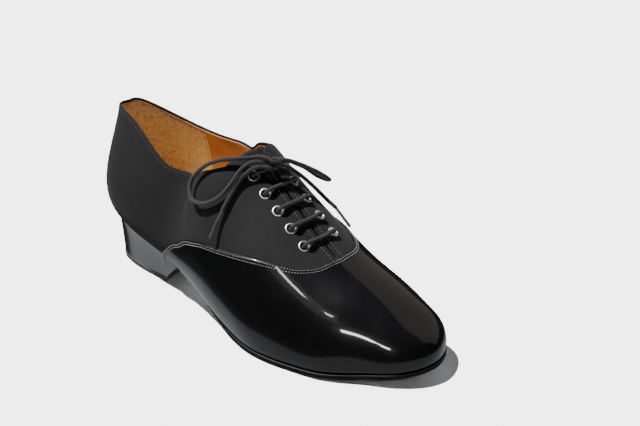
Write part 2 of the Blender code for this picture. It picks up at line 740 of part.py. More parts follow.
def lofted(rings):
    """Points and faces of a loft through rings, with its ends closed by a fan round their middle."""
    count = len(rings[0])
    points = [tuple(point) for ring in rings for point in ring]
    faces = []
    for k in range(len(rings) - 1):
        for i in range(count):
            j = (i + 1) % count
            faces.append((k * count + i, k * count + j, (k + 1) * count + j, (k + 1) * count + i))
    for ring, start in ((rings[0], 0), (rings[-1], (len(rings) - 1) * count)):
        middle = ring.mean(axis=0)
        points.append(tuple(middle))
        hub = len(points) - 1
        for i in range(count):
            faces.append((start + i, start + (i + 1) % count, hub))
    return points, faces


def make_top_piece(parent):
    x, y = heel_outline(1.0, TIP_MARGIN)
    levels = ((TIP_THICKNESS, 1.0), (TIP_CHAMFER, 1.0), (0.0, TIP_TREAD_SHARE))
    centre = np.array([x.mean(), y.mean()])
    rings = []
    for z, share in levels:
        ring_x = centre[0] + (x - centre[0]) * share
        ring_y = centre[1] + (y - centre[1]) * share
        rings.append(np.stack([ring_x, ring_y, np.full(len(x), z)], -1))
    mesh = mesh_of("top_piece", *lofted(rings))
    finish = material("tip_rubber", (0.05, 0.05, 0.052), 0.6)
    return new_object("top_piece", mesh, finish, parent)


def eyelet_rows():
    """Rows of the eyelets' centres, walked up the facing from the throat, and their rise."""
    rows = np.linspace(THROAT_ROW, TOP_ROW, 200)
    line = last_point(rows, rise_at(rows, EYELET_SETBACK))
    walked = np.concatenate([[0], np.cumsum(np.linalg.norm(np.diff(line, axis=0), axis=1))])
    wanted = EYELET_FROM_THROAT + EYELET_PITCH * np.arange(EYELET_PAIRS)
    centres = np.interp(wanted, walked, rows)
    return centres, rise_at(centres, EYELET_SETBACK)


def revolved(row, rise, profile):
    """Points and faces of a ring whose profile of (radius, height) turns round the last's normal."""
    centre = last_point(row, rise)
    axis = wall_normal(row, rise)
    first = np.cross(axis, (0.0, 0.0, 1.0))
    first /= np.linalg.norm(first)
    second = np.cross(axis, first)
    points, faces = [], []
    for i in range(EYELET_SIDES):
        turn = 2 * math.pi * i / EYELET_SIDES
        out = math.cos(turn) * first + math.sin(turn) * second
        for radius, height in profile:
            points.append(centre + radius * out + height * axis)
    count = len(profile)
    for i in range(EYELET_SIDES):
        j = (i + 1) % EYELET_SIDES
        for k in range(count):
            m = (k + 1) % count
            faces.append((i * count + k, j * count + k, j * count + m, i * count + m))
    return points, faces


def make_eyelets(parent):
    barrel = EYELET_BORE_RADIUS + EYELET_BARREL_WALL
    top = GAP + EYELET_FLANGE_HEIGHT
    profile = (
        (EYELET_BORE_RADIUS, -EYELET_DEPTH),
        (EYELET_BORE_RADIUS, top - EYELET_BARREL_WALL),
        (EYELET_FLANGE_RADIUS - EYELET_BARREL_WALL, top),
        (EYELET_FLANGE_RADIUS, GAP),
        (barrel, GAP),
        (barrel, -EYELET_DEPTH),
    )
    centres, rises = eyelet_rows()
    for number, (row, rise) in enumerate(zip(centres, rises), 1):
        for side, place in (("outer", row), ("inner", RING_ROWS - row)):
            name = f"eyelet_{side}_{number}"
            mesh = mesh_of(name, *revolved(place, rise, profile))
            new_object(name, mesh, material(name, (0.75, 0.75, 0.74), 0.25, metallic=1.0), parent)


def cut_eyelet_holes(upper, parent):
    radius = EYELET_BORE_RADIUS + EYELET_BARREL_WALL + GAP
    centres, rises = eyelet_rows()
    points, faces = [], []
    for row, rise in zip(centres, rises):
        for place in (row, RING_ROWS - row):
            start = len(points)
            ends = ((radius, -WALL - HOLE_REACH), (radius, HOLE_REACH))
            ring, _ = revolved(place, rise, ends)
            points.extend(ring)
            low = [start + 2 * i for i in range(EYELET_SIDES)]
            high = [start + 2 * i + 1 for i in range(EYELET_SIDES)]
            faces.append(low[::-1])
            faces.append(high)
            for i in range(EYELET_SIDES):
                j = (i + 1) % EYELET_SIDES
                faces.append((low[i], low[j], high[j], high[i]))
    cutter = bpy.data.objects.new("eyelet_holes", mesh_of("eyelet_holes", points, faces))
    bpy.context.scene.collection.objects.link(cutter)
    cutter.parent = parent
    cutter.hide_render = True
    cutter.display_type = "WIRE"
    cut = upper.modifiers.new("eyelet_holes", "BOOLEAN")
    cut.operation = "DIFFERENCE"
    cut.solver = "EXACT"
    cut.object = cutter


def curve_through(points, spacing):
    """Points at about equal spacing on a smooth curve through the given points."""
    knots = np.array(points, float)
    padded = np.concatenate([[2 * knots[0] - knots[1]], knots, [2 * knots[-1] - knots[-2]]])
    fine = []
    for i in range(1, len(padded) - 2):
        a, b, c, d = padded[i - 1 : i + 3]
        for f in np.linspace(0, 1, 10, endpoint=False):
            fine.append(
                0.5 * (2 * b + (c - a) * f + (2 * a - 5 * b + 4 * c - d) * f**2 + (3 * b - a - 3 * c + d) * f**3)
            )
    fine = np.array(fine + [knots[-1]])
    walked = np.concatenate([[0], np.cumsum(np.linalg.norm(np.diff(fine, axis=0), axis=1))])
    count = max(2, round(walked[-1] / spacing) + 1)
    wanted = np.linspace(0, walked[-1], count)
    return np.stack([np.interp(wanted, walked, fine[:, k]) for k in range(3)], -1)


def make_cord(name, points, diameter, finish, parent):
    """Round cord through points, as a curve with filled ends."""
    curve = bpy.data.curves.new(name, "CURVE")
    curve.dimensions = "3D"
    curve.bevel_depth = diameter / 2
    curve.bevel_resolution = 2
    curve.use_fill_caps = True
    spline = curve.splines.new("POLY")
    spline.points.add(len(points) - 1)
    for corner, point in zip(spline.points, points):
        corner.co = (*point, 1.0)
    obj = bpy.data.objects.new(name, curve)
    bpy.context.scene.collection.objects.link(obj)
    obj.parent = parent
    curve.materials.append(finish)
    return obj


def lace_material(name):
    return material(name, (0.018, 0.017, 0.018), 0.8)


def make_lace_bars(parent):
    """Bars that come up out of one eyelet, cross the slit and go down the other."""
    centres, rises = eyelet_rows()
    for number, row in enumerate(centres, 1):
        half = (
            (EYELET_SETBACK, -0.5 * LACE_DIAMETER),
            (EYELET_SETBACK, 0.4 * LACE_DIAMETER),
            (EYELET_SETBACK - EYELET_BORE_RADIUS, BAR_HEIGHT),
            (EYELET_SETBACK - 2 * EYELET_FLANGE_RADIUS, BAR_REST),
        )
        near = [shifted(row, rise_at(row, distance), height) for distance, height in half]
        far = [shifted(RING_ROWS - row, rise_at(row, distance), height) for distance, height in half]
        top = shifted(row, 1.0, BAR_CREST)
        route = curve_through(near + [top] + far[::-1], LACE_DIAMETER)
        make_cord(f"lace_bar_{number}", route, LACE_DIAMETER, lace_material(f"lace_bar_{number}"), parent)


def knot_route():
    """Turn of lace round the bow's middle, open for a little of the way round."""
    centre = np.array(KNOT_CENTRE)
    axis = np.array(KNOT_AXIS)
    first = np.cross(axis, (0.0, 0.0, 1.0))
    second = np.cross(axis, first)
    turns = np.radians(np.linspace(KNOT_OPENING / 2, 360 - KNOT_OPENING / 2, 13))
    return [centre + KNOT_RADIUS * (math.cos(turn) * first + math.sin(turn) * second) for turn in turns]


def make_bow(parent):
    spacing = 2.4 * LACE_DIAMETER
    make_cord("lace_knot", knot_route(), LACE_DIAMETER, lace_material("lace_knot"), parent)
    for name, points in (
        ("lace_loop_near", LOOP_NEAR),
        ("lace_loop_far", LOOP_FAR),
        ("lace_end_near", END_NEAR),
        ("lace_end_far", END_FAR),
    ):
        make_cord(name, curve_through(points, spacing), LACE_DIAMETER, lace_material(name), parent)
    for name, points in (("aglet_near", AGLET_NEAR), ("aglet_far", AGLET_FAR)):
        make_cord(name, points, AGLET_DIAMETER, material(name, (0.02, 0.02, 0.02), 0.3), parent)


def clear_scene():
    for obj in list(bpy.data.objects):
        bpy.data.objects.remove(obj, do_unlink=True)


def main():
    clear_scene()
    frame = bpy.data.objects.new("shoe", None)
    bpy.context.scene.collection.objects.link(frame)
    frame.location = (-HEEL_CENTRE, 0.0, 0.0)
    upper = make_upper(frame)
    cut_eyelet_holes(upper, frame)
    make_vamp(frame)
    make_back_strip(frame)
    make_tongue(frame)
    make_insole(frame)
    make_outsole(frame)
    make_heel(frame)
    make_top_piece(frame)
    make_eyelets(frame)
    make_lace_bars(frame)
    make_bow(frame)


main()
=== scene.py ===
"""Looks of the ballroom dance shoe, in metres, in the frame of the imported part.

The visible sheets are drawn on the same last as the part: a place on it is a pair (row, rise),
where row counts the sections from the heel back along the outer side to the toe and back along
the inner side, and rise runs from the sole line (0) to the ridge over the foot (1).
"""

from collections import namedtuple
import math

import bpy
from mathutils import Matrix, Vector
import numpy as np


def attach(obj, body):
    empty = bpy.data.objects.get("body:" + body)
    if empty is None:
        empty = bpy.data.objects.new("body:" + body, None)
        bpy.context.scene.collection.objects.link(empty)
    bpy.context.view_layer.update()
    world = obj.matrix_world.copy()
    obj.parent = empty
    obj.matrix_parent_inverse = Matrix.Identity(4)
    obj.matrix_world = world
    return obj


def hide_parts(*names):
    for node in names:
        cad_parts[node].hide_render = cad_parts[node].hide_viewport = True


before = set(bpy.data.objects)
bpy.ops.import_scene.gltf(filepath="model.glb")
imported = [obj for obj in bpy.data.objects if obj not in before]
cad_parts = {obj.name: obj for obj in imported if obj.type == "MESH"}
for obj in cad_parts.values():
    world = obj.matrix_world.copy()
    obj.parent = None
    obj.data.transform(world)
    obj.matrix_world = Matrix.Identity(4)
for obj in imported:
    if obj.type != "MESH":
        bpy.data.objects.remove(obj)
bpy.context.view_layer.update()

# Driving sizes of the last
LENGTH = 0.273
BALL_WIDTH = 0.094
INSTEP_HEIGHT = 0.110
HEEL_RISE = 0.038
TOE_SPRING = 0.008
SLIT_SHIFT = 0.0036
TOE_TURN = 0.0106
HEEL_CENTRE = 0.029

# Thicknesses and clearances
WALL = 0.0020
INSOLE_THICKNESS = 0.0025
SOLE_THICKNESS = 0.0040
GAP = 0.0004
TONGUE_GAP = 0.0012

# Openings of the upper
SLIT_HALF_LOW = 0.0005
SLIT_HALF_HIGH = 0.0013
SLIT_FLARE = 0.0168
THROAT_ROW = 10.6
FLARE_ROW = 7.18
TOP_ROW = 6.8
CORNER_ROUNDING = 0.012
CORNER_ROW = 6.92
CORNER_CLIMB = 2.5
CLOSED_ROW = 6.2

# Sole edge, and the places as shares of LENGTH where the toe turns, the waist ends and the
# plan has its middle
SOLE_MARGIN = 0.0018
WAIST_TUCK = 0.0030
WAIST_BEVEL = 0.0070
EDGE_GROOVE = 0.0004
TURN_START = 0.62
TURN_SPAN = 0.32
WAIST_START = 0.24
WAIST_SPAN = 0.32
PLAN_MIDDLE = 0.55

# Heel
BREAST_ROW = 4.34
TIP_WIDTH_SHARE = 0.73
TIP_LENGTH_SHARE = 0.972
TIP_BACK_SHIFT = 0.0040
BREAST_HOLLOW = 0.0050
TIP_THICKNESS = 0.0040
TIP_MARGIN = 0.0002

# Strip up the back of the heel
STRIP_WIDTH = 0.0160
STRIP_TOP_WIDTH = 0.0150
TAIL_LENGTH = 0.0100
TAIL_WIDTH = 0.0110
STRIP_DROP = 0.0006

# Tongue
TONGUE_HALF_WIDTH = 0.0240
TONGUE_TOP_ROW = 6.84
TONGUE_ROUNDING = 0.40
TONGUE_CREASE_DROP = 0.0022
TONGUE_CREASE_REACH = 0.0080

# Eyelets and laces
EYELET_PAIRS = 5
EYELET_PITCH = 0.0142
EYELET_SETBACK = 0.0135
EYELET_FROM_THROAT = 0.0170
EYELET_FLANGE_RADIUS = 0.0038
EYELET_BORE_RADIUS = 0.0024
EYELET_BARREL_WALL = 0.0004
EYELET_DEPTH = 0.0023
HOLE_REACH = 0.0025
LACE_DIAMETER = 0.0027
BAR_HEIGHT = 0.0032
BAR_REST = 0.0021
BAR_CREST = 0.0019
AGLET_DIAMETER = 0.0020

# Sections of the last, from the heel back to the toe tip. along: place on the sole line as a share
# of LENGTH. outer, inner: half widths there as shares of half BALL_WIDTH. top_along: place of the
# ridge as a share of LENGTH. top_height: its height above the sole line as a share of
# INSTEP_HEIGHT. top_open: how far the ridge stands open, as a share of half BALL_WIDTH. lean:
# angle of the wall at the sole line. fall: angle of the wall at the ridge. rise, roof: how far the
# wall keeps those angles, as shares of the section's chord. collar_outer, collar_inner: rise of
# the collar line.
Section = namedtuple(
    "Section",
    "along outer inner top_along top_height top_open lean rise fall roof collar_outer collar_inner",
)
SECTIONS = (
    Section(0.002, 0.000, 0.000, 0.008, 0.990, 0.000, 61, 0.26, 84, 0.42, 0.745, 0.745),
    Section(0.018, 0.383, 0.383, 0.028, 0.993, 0.085, 52, 0.32, 84, 0.42, 0.750, 0.752),
    Section(0.064, 0.617, 0.606, 0.110, 1.005, 0.180, 54, 0.34, 84, 0.42, 0.741, 0.697),
    Section(0.137, 0.709, 0.691, 0.220, 1.032, 0.310, 60, 0.29, 84, 0.40, 0.674, 0.648),
    Section(0.214, 0.713, 0.670, 0.322, 1.054, 0.345, 62, 0.28, 78, 0.36, 0.615, 0.655),
    Section(0.293, 0.691, 0.606, 0.407, 1.066, 0.170, 58, 0.28, 56, 0.34, 0.634, 0.695),
    Section(0.374, 0.723, 0.574, 0.454, 1.046, 0.000, 56, 0.31, 27, 0.36, 0.662, 0.705),
    Section(0.454, 0.798, 0.645, 0.502, 1.008, 0.000, 60, 0.34, 13, 0.41, 0.808, 0.815),
    Section(0.535, 0.898, 0.795, 0.564, 0.911, 0.000, 68, 0.37, 12, 0.42, 1.200, 1.200),
    Section(0.608, 0.991, 0.915, 0.634, 0.777, 0.000, 74, 0.41, 8, 0.43, 1.400, 1.400),
    Section(0.681, 0.979, 0.990, 0.703, 0.634, 0.000, 80, 0.46, 3, 0.44, 1.400, 1.400),
    Section(0.755, 0.889, 1.022, 0.770, 0.522, 0.000, 83, 0.50, 0, 0.43, 1.400, 1.400),
    Section(0.828, 0.745, 1.015, 0.828, 0.440, 0.000, 84, 0.53, 0, 0.40, 1.400, 1.400),
    Section(0.901, 0.457, 0.935, 0.879, 0.352, 0.000, 84, 0.52, 0, 0.39, 1.400, 1.400),
    Section(0.963, 0.213, 0.770, 0.916, 0.270, 0.000, 83, 0.49, 0, 0.39, 1.400, 1.400),
    Section(1.002, -0.266, 0.266, 0.938, 0.215, 0.000, 82, 0.48, 0, 0.40, 1.400, 1.400),
)
LAST_ROW = len(SECTIONS) - 1
RING_ROWS = 2 * LAST_ROW

# Height of the sole line behind the tread, as shares of HEEL_RISE, at equal steps along the sole
BOTTOM_STEP = 20 / 273
BOTTOM_SHARES = (1.02, 0.98, 0.93, 0.85, 0.735, 0.575, 0.39, 0.195, 0.0, 0.0, 0.0, 0.0)
SPRING_START = 0.714
SPRING_END = 1.0

# Where the vamp's top edge runs, from the heel breast to the throat, as rows and rises
VAMP_SEAM = (
    (4.44, 0.000), (4.54, 0.035), (4.68, 0.092), (4.84, 0.133), (5.11, 0.198), (5.44, 0.254),
    (6.14, 0.325), (6.66, 0.365), (7.24, 0.420), (7.99, 0.490), (8.91, 0.562), (9.55, 0.622),
    (10.07, 0.684), (10.34, 0.738), (10.53, 0.800), (10.62, 0.870), (10.64, 1.000),
)

# Bow, in metres from the heel back: the knot's centre and the routes of its cords
KNOT_CENTRE = (0.1510, -0.0050, 0.1170)
LOOP_NEAR = (
    (0.1522, -0.0077, 0.1189), (0.1482, -0.0098, 0.1212), (0.1434, -0.0122, 0.1216),
    (0.1397, -0.0152, 0.1206), (0.1350, -0.0210, 0.1205), (0.1251, -0.0288, 0.1186),
    (0.1150, -0.0335, 0.1126), (0.1082, -0.0372, 0.1038), (0.1080, -0.0405, 0.0970),
    (0.1137, -0.0438, 0.0922), (0.1220, -0.0439, 0.0921), (0.1296, -0.0413, 0.0952),
    (0.1352, -0.0368, 0.1007), (0.1378, -0.0305, 0.1080), (0.1389, -0.0239, 0.1146),
    (0.1415, -0.0166, 0.1184), (0.1455, -0.0125, 0.1187), (0.1488, -0.0077, 0.1176),
)
END_NEAR = (
    (0.1517, -0.0077, 0.1151), (0.1508, -0.0092, 0.1153), (0.1491, -0.0110, 0.1158),
    (0.1468, -0.0128, 0.1158), (0.1445, -0.0160, 0.1154), (0.1424, -0.0203, 0.1136),
    (0.1404, -0.0251, 0.1096), (0.1395, -0.0301, 0.1041), (0.1390, -0.0351, 0.0979),
    (0.1381, -0.0397, 0.0915),
)
AGLET_NEAR = ((0.1380, -0.0400, 0.0910), (0.1354, -0.0490, 0.0738))
LOOP_FAR = (
    (0.1522, -0.0023, 0.1185), (0.1543, 0.0022, 0.1180), (0.1560, 0.0085, 0.1148),
    (0.1575, 0.0170, 0.1095), (0.1590, 0.0250, 0.1040), (0.1605, 0.0320, 0.0985),
    (0.1605, 0.0365, 0.0945), (0.1585, 0.0385, 0.0925), (0.1555, 0.0370, 0.0928),
    (0.1520, 0.0320, 0.0965), (0.1495, 0.0250, 0.1030), (0.1487, 0.0170, 0.1085),
    (0.1487, 0.0095, 0.1132), (0.1488, 0.0025, 0.1168), (0.1491, -0.0023, 0.1176),
)
END_FAR = (
    (0.1515, -0.0023, 0.1150), (0.1527, 0.0015, 0.1136), (0.1548, 0.0060, 0.1108),
    (0.1575, 0.0122, 0.1047), (0.1592, 0.0186, 0.0978), (0.1608, 0.0241, 0.0914),
    (0.1646, 0.0284, 0.0848), (0.1717, 0.0311, 0.0792),
)
AGLET_FAR = ((0.1723, 0.0312, 0.0787), (0.1835, 0.0322, 0.0690))


def unit(vectors):
    """The vectors at length one."""
    return vectors / np.linalg.norm(vectors, axis=-1, keepdims=True)


def walked_along(points):
    """Length walked along a line up to each of its points."""
    return np.concatenate([[0], np.cumsum(np.linalg.norm(np.diff(points, axis=0), axis=1))])


def basis(fraction):
    """Weights of the four control rows round a place in a uniform cubic spline."""
    f = fraction
    return (
        (1 - f) ** 3 / 6,
        (3 * f**3 - 6 * f**2 + 4) / 6,
        (-3 * f**3 + 3 * f**2 + 3 * f + 1) / 6,
        f**3 / 6,
    )


def through(values):
    """Control values whose closed spline passes through the given values."""
    count = len(values)
    matrix = np.zeros((count, count))
    for i in range(count):
        matrix[i, i] = 4 / 6
        matrix[i, (i + 1) % count] = 1 / 6
        matrix[i, i - 1] = 1 / 6
    return np.linalg.solve(matrix, values)


def along_ring(controls, row):
    """Value of a closed spline at a row."""
    low = np.floor(row).astype(int)
    weights = basis(row - low)
    return sum(weights[k] * controls[(low - 1 + k) % len(controls)] for k in range(4))


def ring_of(outer_column, inner_column, outer_sign=1):
    """Values of a column right round the last, outer side first."""
    outer = [outer_sign * getattr(section, outer_column) for section in SECTIONS]
    inner = [getattr(section, inner_column) for section in SECTIONS]
    return np.array(outer + inner[-2:0:-1])


HALF = BALL_WIDTH / 2
FOOT_X = through(ring_of("along", "along")) * LENGTH
FOOT_Y = through(ring_of("outer", "inner", -1)) * HALF
TOP_X = through(ring_of("top_along", "top_along")) * LENGTH
TOP_HEIGHT = through(ring_of("top_height", "top_height")) * INSTEP_HEIGHT
TOP_OPEN = ring_of("top_open", "top_open", -1) * HALF
LEAN = np.radians(ring_of("lean", "lean"))
RISE = ring_of("rise", "rise")
FALL = np.radians(ring_of("fall", "fall"))
ROOF = ring_of("roof", "roof")
COLLAR = through(ring_of("collar_outer", "collar_inner"))


def sole_line(x):
    """Height of the line where upper and sole meet, at x behind or ahead of the heel back."""
    steps = np.clip(np.asarray(x) / (BOTTOM_STEP * LENGTH) + 1, 0, len(BOTTOM_SHARES) - 1)
    low = np.minimum(np.floor(steps), len(BOTTOM_SHARES) - 2).astype(int)
    weights = basis(steps - low)
    shares = np.array(BOTTOM_SHARES)
    top = len(shares) - 1
    share = sum(weights[k] * shares[np.clip(low - 1 + k, 0, top)] for k in range(4))
    spring = np.clip((np.asarray(x) / LENGTH - SPRING_START) / (SPRING_END - SPRING_START), 0, None)
    return SOLE_THICKNESS + HEEL_RISE * share + TOE_SPRING * spring**2


def foot(row):
    """Plan of the sole line: x and y."""
    return along_ring(FOOT_X, row), along_ring(FOOT_Y, row)


def foot_normal(row):
    """Outward direction of the sole line in plan."""
    step = 1e-3
    x1, y1 = foot(row + step)
    x0, y0 = foot(row - step)
    run_x, run_y = x1 - x0, y1 - y0
    size = np.hypot(run_x, run_y)
    return run_y / size * -1.0, run_x / size


def ridge_y(x):
    """How far the ridge lies to the inner side."""
    share = np.clip((x / LENGTH - TURN_START) / TURN_SPAN, 0, None)
    return TOE_TURN * share**1.6 - SLIT_SHIFT


def folded(row):
    """Row counted on the outer side for a row of either side."""
    row = np.mod(row, RING_ROWS)
    return np.minimum(row, RING_ROWS - row)


def section_points(row):
    """The four points that shape the section of the last at a row."""
    row = np.asarray(row, float)
    foot_x, foot_y = foot(row)
    start = np.stack([foot_x, foot_y, sole_line(foot_x)], -1)
    top_x = along_ring(TOP_X, row)
    top_y = ridge_y(top_x) + along_ring(TOP_OPEN, row)
    top_z = start[..., 2] + along_ring(TOP_HEIGHT, row)
    end = np.stack([top_x, top_y, top_z], -1)
    chord = np.linalg.norm(end - start, axis=-1)

    out_x, out_y = foot_normal(row)
    sign = np.sign(out_x * (foot_x - top_x) + out_y * (foot_y - top_y))
    lean = along_ring(LEAN, row)
    up = np.stack([np.cos(lean) * out_x * sign, np.cos(lean) * out_y * sign, np.sin(lean)], -1)
    low = start + (along_ring(RISE, row) * chord)[..., None] * up

    plan = unit((start - end)[..., :2])
    near = np.clip(folded(row), 0.1, LAST_ROW - 0.1)
    step = 0.05
    ahead, behind = near + step, near - step
    run_x = along_ring(TOP_X, ahead) - along_ring(TOP_X, behind)
    run_z = along_ring(TOP_HEIGHT, ahead) - along_ring(TOP_HEIGHT, behind)
    run_z = run_z + sole_line(foot(ahead)[0]) - sole_line(foot(behind)[0])
    closed = np.clip(1 - np.abs(along_ring(TOP_OPEN, row)) / 0.003, 0, 1)
    slope = run_z / np.where(np.abs(run_x) < 1e-6, 1e-6, run_x) * closed
    fall = along_ring(FALL, row)
    down = np.stack(
        [
            np.cos(fall) * plan[..., 0],
            np.cos(fall) * plan[..., 1],
            np.cos(fall) * slope * plan[..., 0] - np.sin(fall),
        ],
        -1,
    )
    high = end + (along_ring(ROOF, row) * chord)[..., None] * down
    return start, low, high, end


def last_point(row, rise):
    """Point of the last at a row and a rise."""
    start, low, high, end = section_points(row)
    v = np.asarray(rise, float)[..., None]
    return (1 - v) ** 3 * start + 3 * v * (1 - v) ** 2 * low + 3 * v**2 * (1 - v) * high + v**3 * end


def wall_normal(row, rise):
    """Unit normal of the last from its slopes along row and rise."""
    step = 2e-3
    run_row = last_point(row + step, rise) - last_point(row - step, rise)
    run_rise = last_point(row, rise + step) - last_point(row, rise - step)
    return unit(np.cross(run_row, run_rise))


def last_normal(row, rise):
    """Outward normal of the last, level where the wall stands on the sole.

    On the closed ridge it is the mean of both sides, so that they stay together when shifted.
    """
    row = np.asarray(row, float)
    rise = np.asarray(rise, float)
    inside = np.clip(rise, 2e-3, 1 - 2e-3)
    normal = wall_normal(row, inside)
    closed = (rise > 0.9999) & (folded(row) > CLOSED_ROW)
    normal = np.where(closed[..., None], normal + wall_normal(RING_ROWS - row, inside), normal)
    level = np.clip(rise / 0.06, 0, 1)
    normal[..., 2] *= level * level * (3 - 2 * level)
    return unit(normal)


def shifted(row, rise, distance):
    """Point off the last by a distance along its normal."""
    return last_point(row, rise) + last_normal(row, rise) * np.asarray(distance)[..., None]


def rise_at(row, distance):
    """Rise of the place that lies a distance down from the ridge."""
    row = np.asarray(row, float)
    low, high = np.full(row.shape, 0.4), np.ones(row.shape)
    top = last_point(row, np.ones(row.shape))
    for _ in range(30):
        middle = (low + high) / 2
        reach = np.linalg.norm(last_point(row, middle) - top, axis=-1)
        low = np.where(reach > distance, middle, low)
        high = np.where(reach > distance, high, middle)
    return (low + high) / 2


def row_at(rise, distance):
    """Row of the place that lies a distance round from the heel back at each rise."""
    rows = np.linspace(0, 3, 61)
    found = np.empty(rise.shape)
    for place in np.ndindex(rise.shape):
        line = last_point(rows, np.full(rows.shape, rise[place]))
        found[place] = np.interp(distance[place], walked_along(line), rows)
    return found


def slit_half(row):
    """Half of the opening between the facings at a row of the outer side."""
    share = (THROAT_ROW - row) / (THROAT_ROW - FLARE_ROW)
    flare = np.clip((FLARE_ROW - row) / (FLARE_ROW - TOP_ROW), 0, 1)
    return SLIT_HALF_LOW + (SLIT_HALF_HIGH - SLIT_HALF_LOW) * share + SLIT_FLARE * flare**1.6


def rim(row):
    """Rise of the upper's top edge: the collar, the facing's edge or the closed ridge."""
    row = np.asarray(row, float)
    side = folded(row)
    climb = CORNER_CLIMB * np.clip(side - CORNER_ROW, 0, None)
    collar = np.where(side < 8, along_ring(COLLAR, row) + climb, 2.0)
    facing = np.where(side > 5.5, rise_at(row, np.maximum(slit_half(side), 0)), 2.0)
    spread = np.sqrt((collar - facing) ** 2 + CORNER_ROUNDING**2)
    edge = np.minimum((collar + facing - spread) / 2, 1.0)
    return np.where(side >= THROAT_ROW - 1e-9, 1.0, edge)


def rows_between(first, last, per_row):
    """Rows at equal steps, both ends included."""
    steps = max(2, round(abs(last - first) * per_row))
    return np.linspace(first, last, steps + 1)


def smooth_run(padded, samples):
    """Points on a smooth curve through all but the two outer ones of the given points."""
    fine = []
    for i in range(1, len(padded) - 2):
        a, b, c, d = padded[i - 1 : i + 3]
        for f in np.linspace(0, 1, samples, endpoint=False):
            square, cube = 2 * a - 5 * b + 4 * c - d, 3 * b - a - 3 * c + d
            fine.append(0.5 * (2 * b + (c - a) * f + square * f**2 + cube * f**3))
    return np.array(fine + [padded[-2]])


def seam_curve(count):
    """Rows and rises at equal steps along the vamp's top edge."""
    knots = np.array(VAMP_SEAM)
    samples = smooth_run(np.concatenate([[2 * knots[0] - knots[1]], knots, [knots[-1] + [0, 0.1]]]), 12)
    length = walked_along(last_point(samples[:, 0], np.clip(samples[:, 1], 0, 1)))
    wanted = np.linspace(0, length[-1], count)
    return np.interp(wanted, length, samples[:, 0]), np.interp(wanted, length, samples[:, 1])


def plan_ring(rows, inset):
    """Plan of the sole line moved inwards by an inset that may vary."""
    x, y = foot(rows)
    out_x, out_y = foot_normal(rows)
    sign = np.where(out_x * (x - LENGTH * PLAN_MIDDLE) + out_y * y > 0, 1.0, -1.0)
    return x - out_x * sign * inset, y - out_y * sign * inset


def waist(x):
    """One in the middle of the waist, none at the ball, by x."""
    share = np.clip((x / LENGTH - WAIST_START) / WAIST_SPAN, 0, 1)
    return 1 - share * share * (3 - 2 * share)


def eyelet_rows():
    """Rows of the eyelets' centres, walked up the facing from the throat, and their rise."""
    rows = np.linspace(THROAT_ROW, TOP_ROW, 200)
    walked = walked_along(last_point(rows, rise_at(rows, EYELET_SETBACK)))
    wanted = EYELET_FROM_THROAT + EYELET_PITCH * np.arange(EYELET_PAIRS)
    centres = np.interp(wanted, walked, rows)
    return centres, rise_at(centres, EYELET_SETBACK)


def eyelet_places():
    """Side and number, row and rise of each eyelet, the two of a pair together."""
    for number, (row, rise) in enumerate(zip(*eyelet_rows()), 1):
        yield f"outer_{number}", row, rise
        yield f"inner_{number}", RING_ROWS - row, rise


def curve_through(points, spacing):
    """Points at about equal spacing on a smooth curve through the given points."""
    knots = np.array(points, float)
    fine = smooth_run(np.concatenate([[2 * knots[0] - knots[1]], knots, [2 * knots[-1] - knots[-2]]]), 10)
    walked = walked_along(fine)
    wanted = np.linspace(0, walked[-1], max(2, round(walked[-1] / spacing) + 1))
    return np.stack([np.interp(wanted, walked, fine[:, k]) for k in range(3)], -1)


# Visible sheets, in metres. OVERLAY_LIFT: how far what lies on the last stands off it.
# EDGE_ROLL: radius of an overlay's edge, as a share of its thickness.
OUTER_LEATHER = 0.0017
LINING_GAP = 0.00005
LINING_DROP = 0.0015
LINING_SLIT_DROP = 0.0075
VAMP_THICKNESS = 0.0012
STRIP_LEATHER = 0.0009
OVERLAY_LIFT = 0.00002
EDGE_ROLL = 0.8
GRIP_THICKNESS = 0.0004
GRIP_ROW = 3.15
GRIP_LOW_RISE = 0.10
GRIP_SPREAD = 0.05
TONGUE_FACE = 0.0012
TONGUE_LINING = 0.0005
TONGUE_LENGTH = 0.068
TONGUE_TAPER = 0.8
TONGUE_CORNER_POWER = 2.5
TONGUE_SEWN_ROW = 10.9
LIP_HEIGHT = 0.0012
LIP_REACH = 0.004
PAD_HEIGHT = 0.0010
PAD_BOW = 0.010
PAD_HALF_WIDTH = 0.028
EYELET_ROLL_WIDTH = 0.0010
EYELET_SIDES = 40
HOLE_SIDES = 32
KNOT_CORD = 0.46 * LACE_DIAMETER
KNOT_REACH = 0.0031
KNOT_SLIDE = 0.0012
FLOOR_REACH = 6.0
EDGE_STEPS = np.array((0.0, 0.00006, 0.0002, 0.0004, 0.0007, 0.0011, 0.0018, 0.0030))
ORIGIN = np.array([-HEEL_CENTRE, 0.0, 0.0])

# Columns of the upper: first row, last row and columns to a row
COLUMN_STRETCHES = (
    (0, 5.6, 8),
    (5.6, 6.7, 14),
    (6.7, 7.3, 50),
    (7.3, THROAT_ROW, 12),
    (THROAT_ROW, LAST_ROW, 8),
)

# Side of the heel's tip: height above the floor and inset from its outline
TIP_LEVELS = (
    (TIP_THICKNESS - 0.0001, 0.0005),
    (TIP_THICKNESS - 0.0003, 0.0001),
    (TIP_THICKNESS - 0.0007, 0.0),
    (0.0026, 0.0),
    (0.0023, 0.00025),
    (0.0020, 0.0),
    (0.0006, 0.0),
    (0.0002, 0.0002),
    (0.0, 0.0006),
)

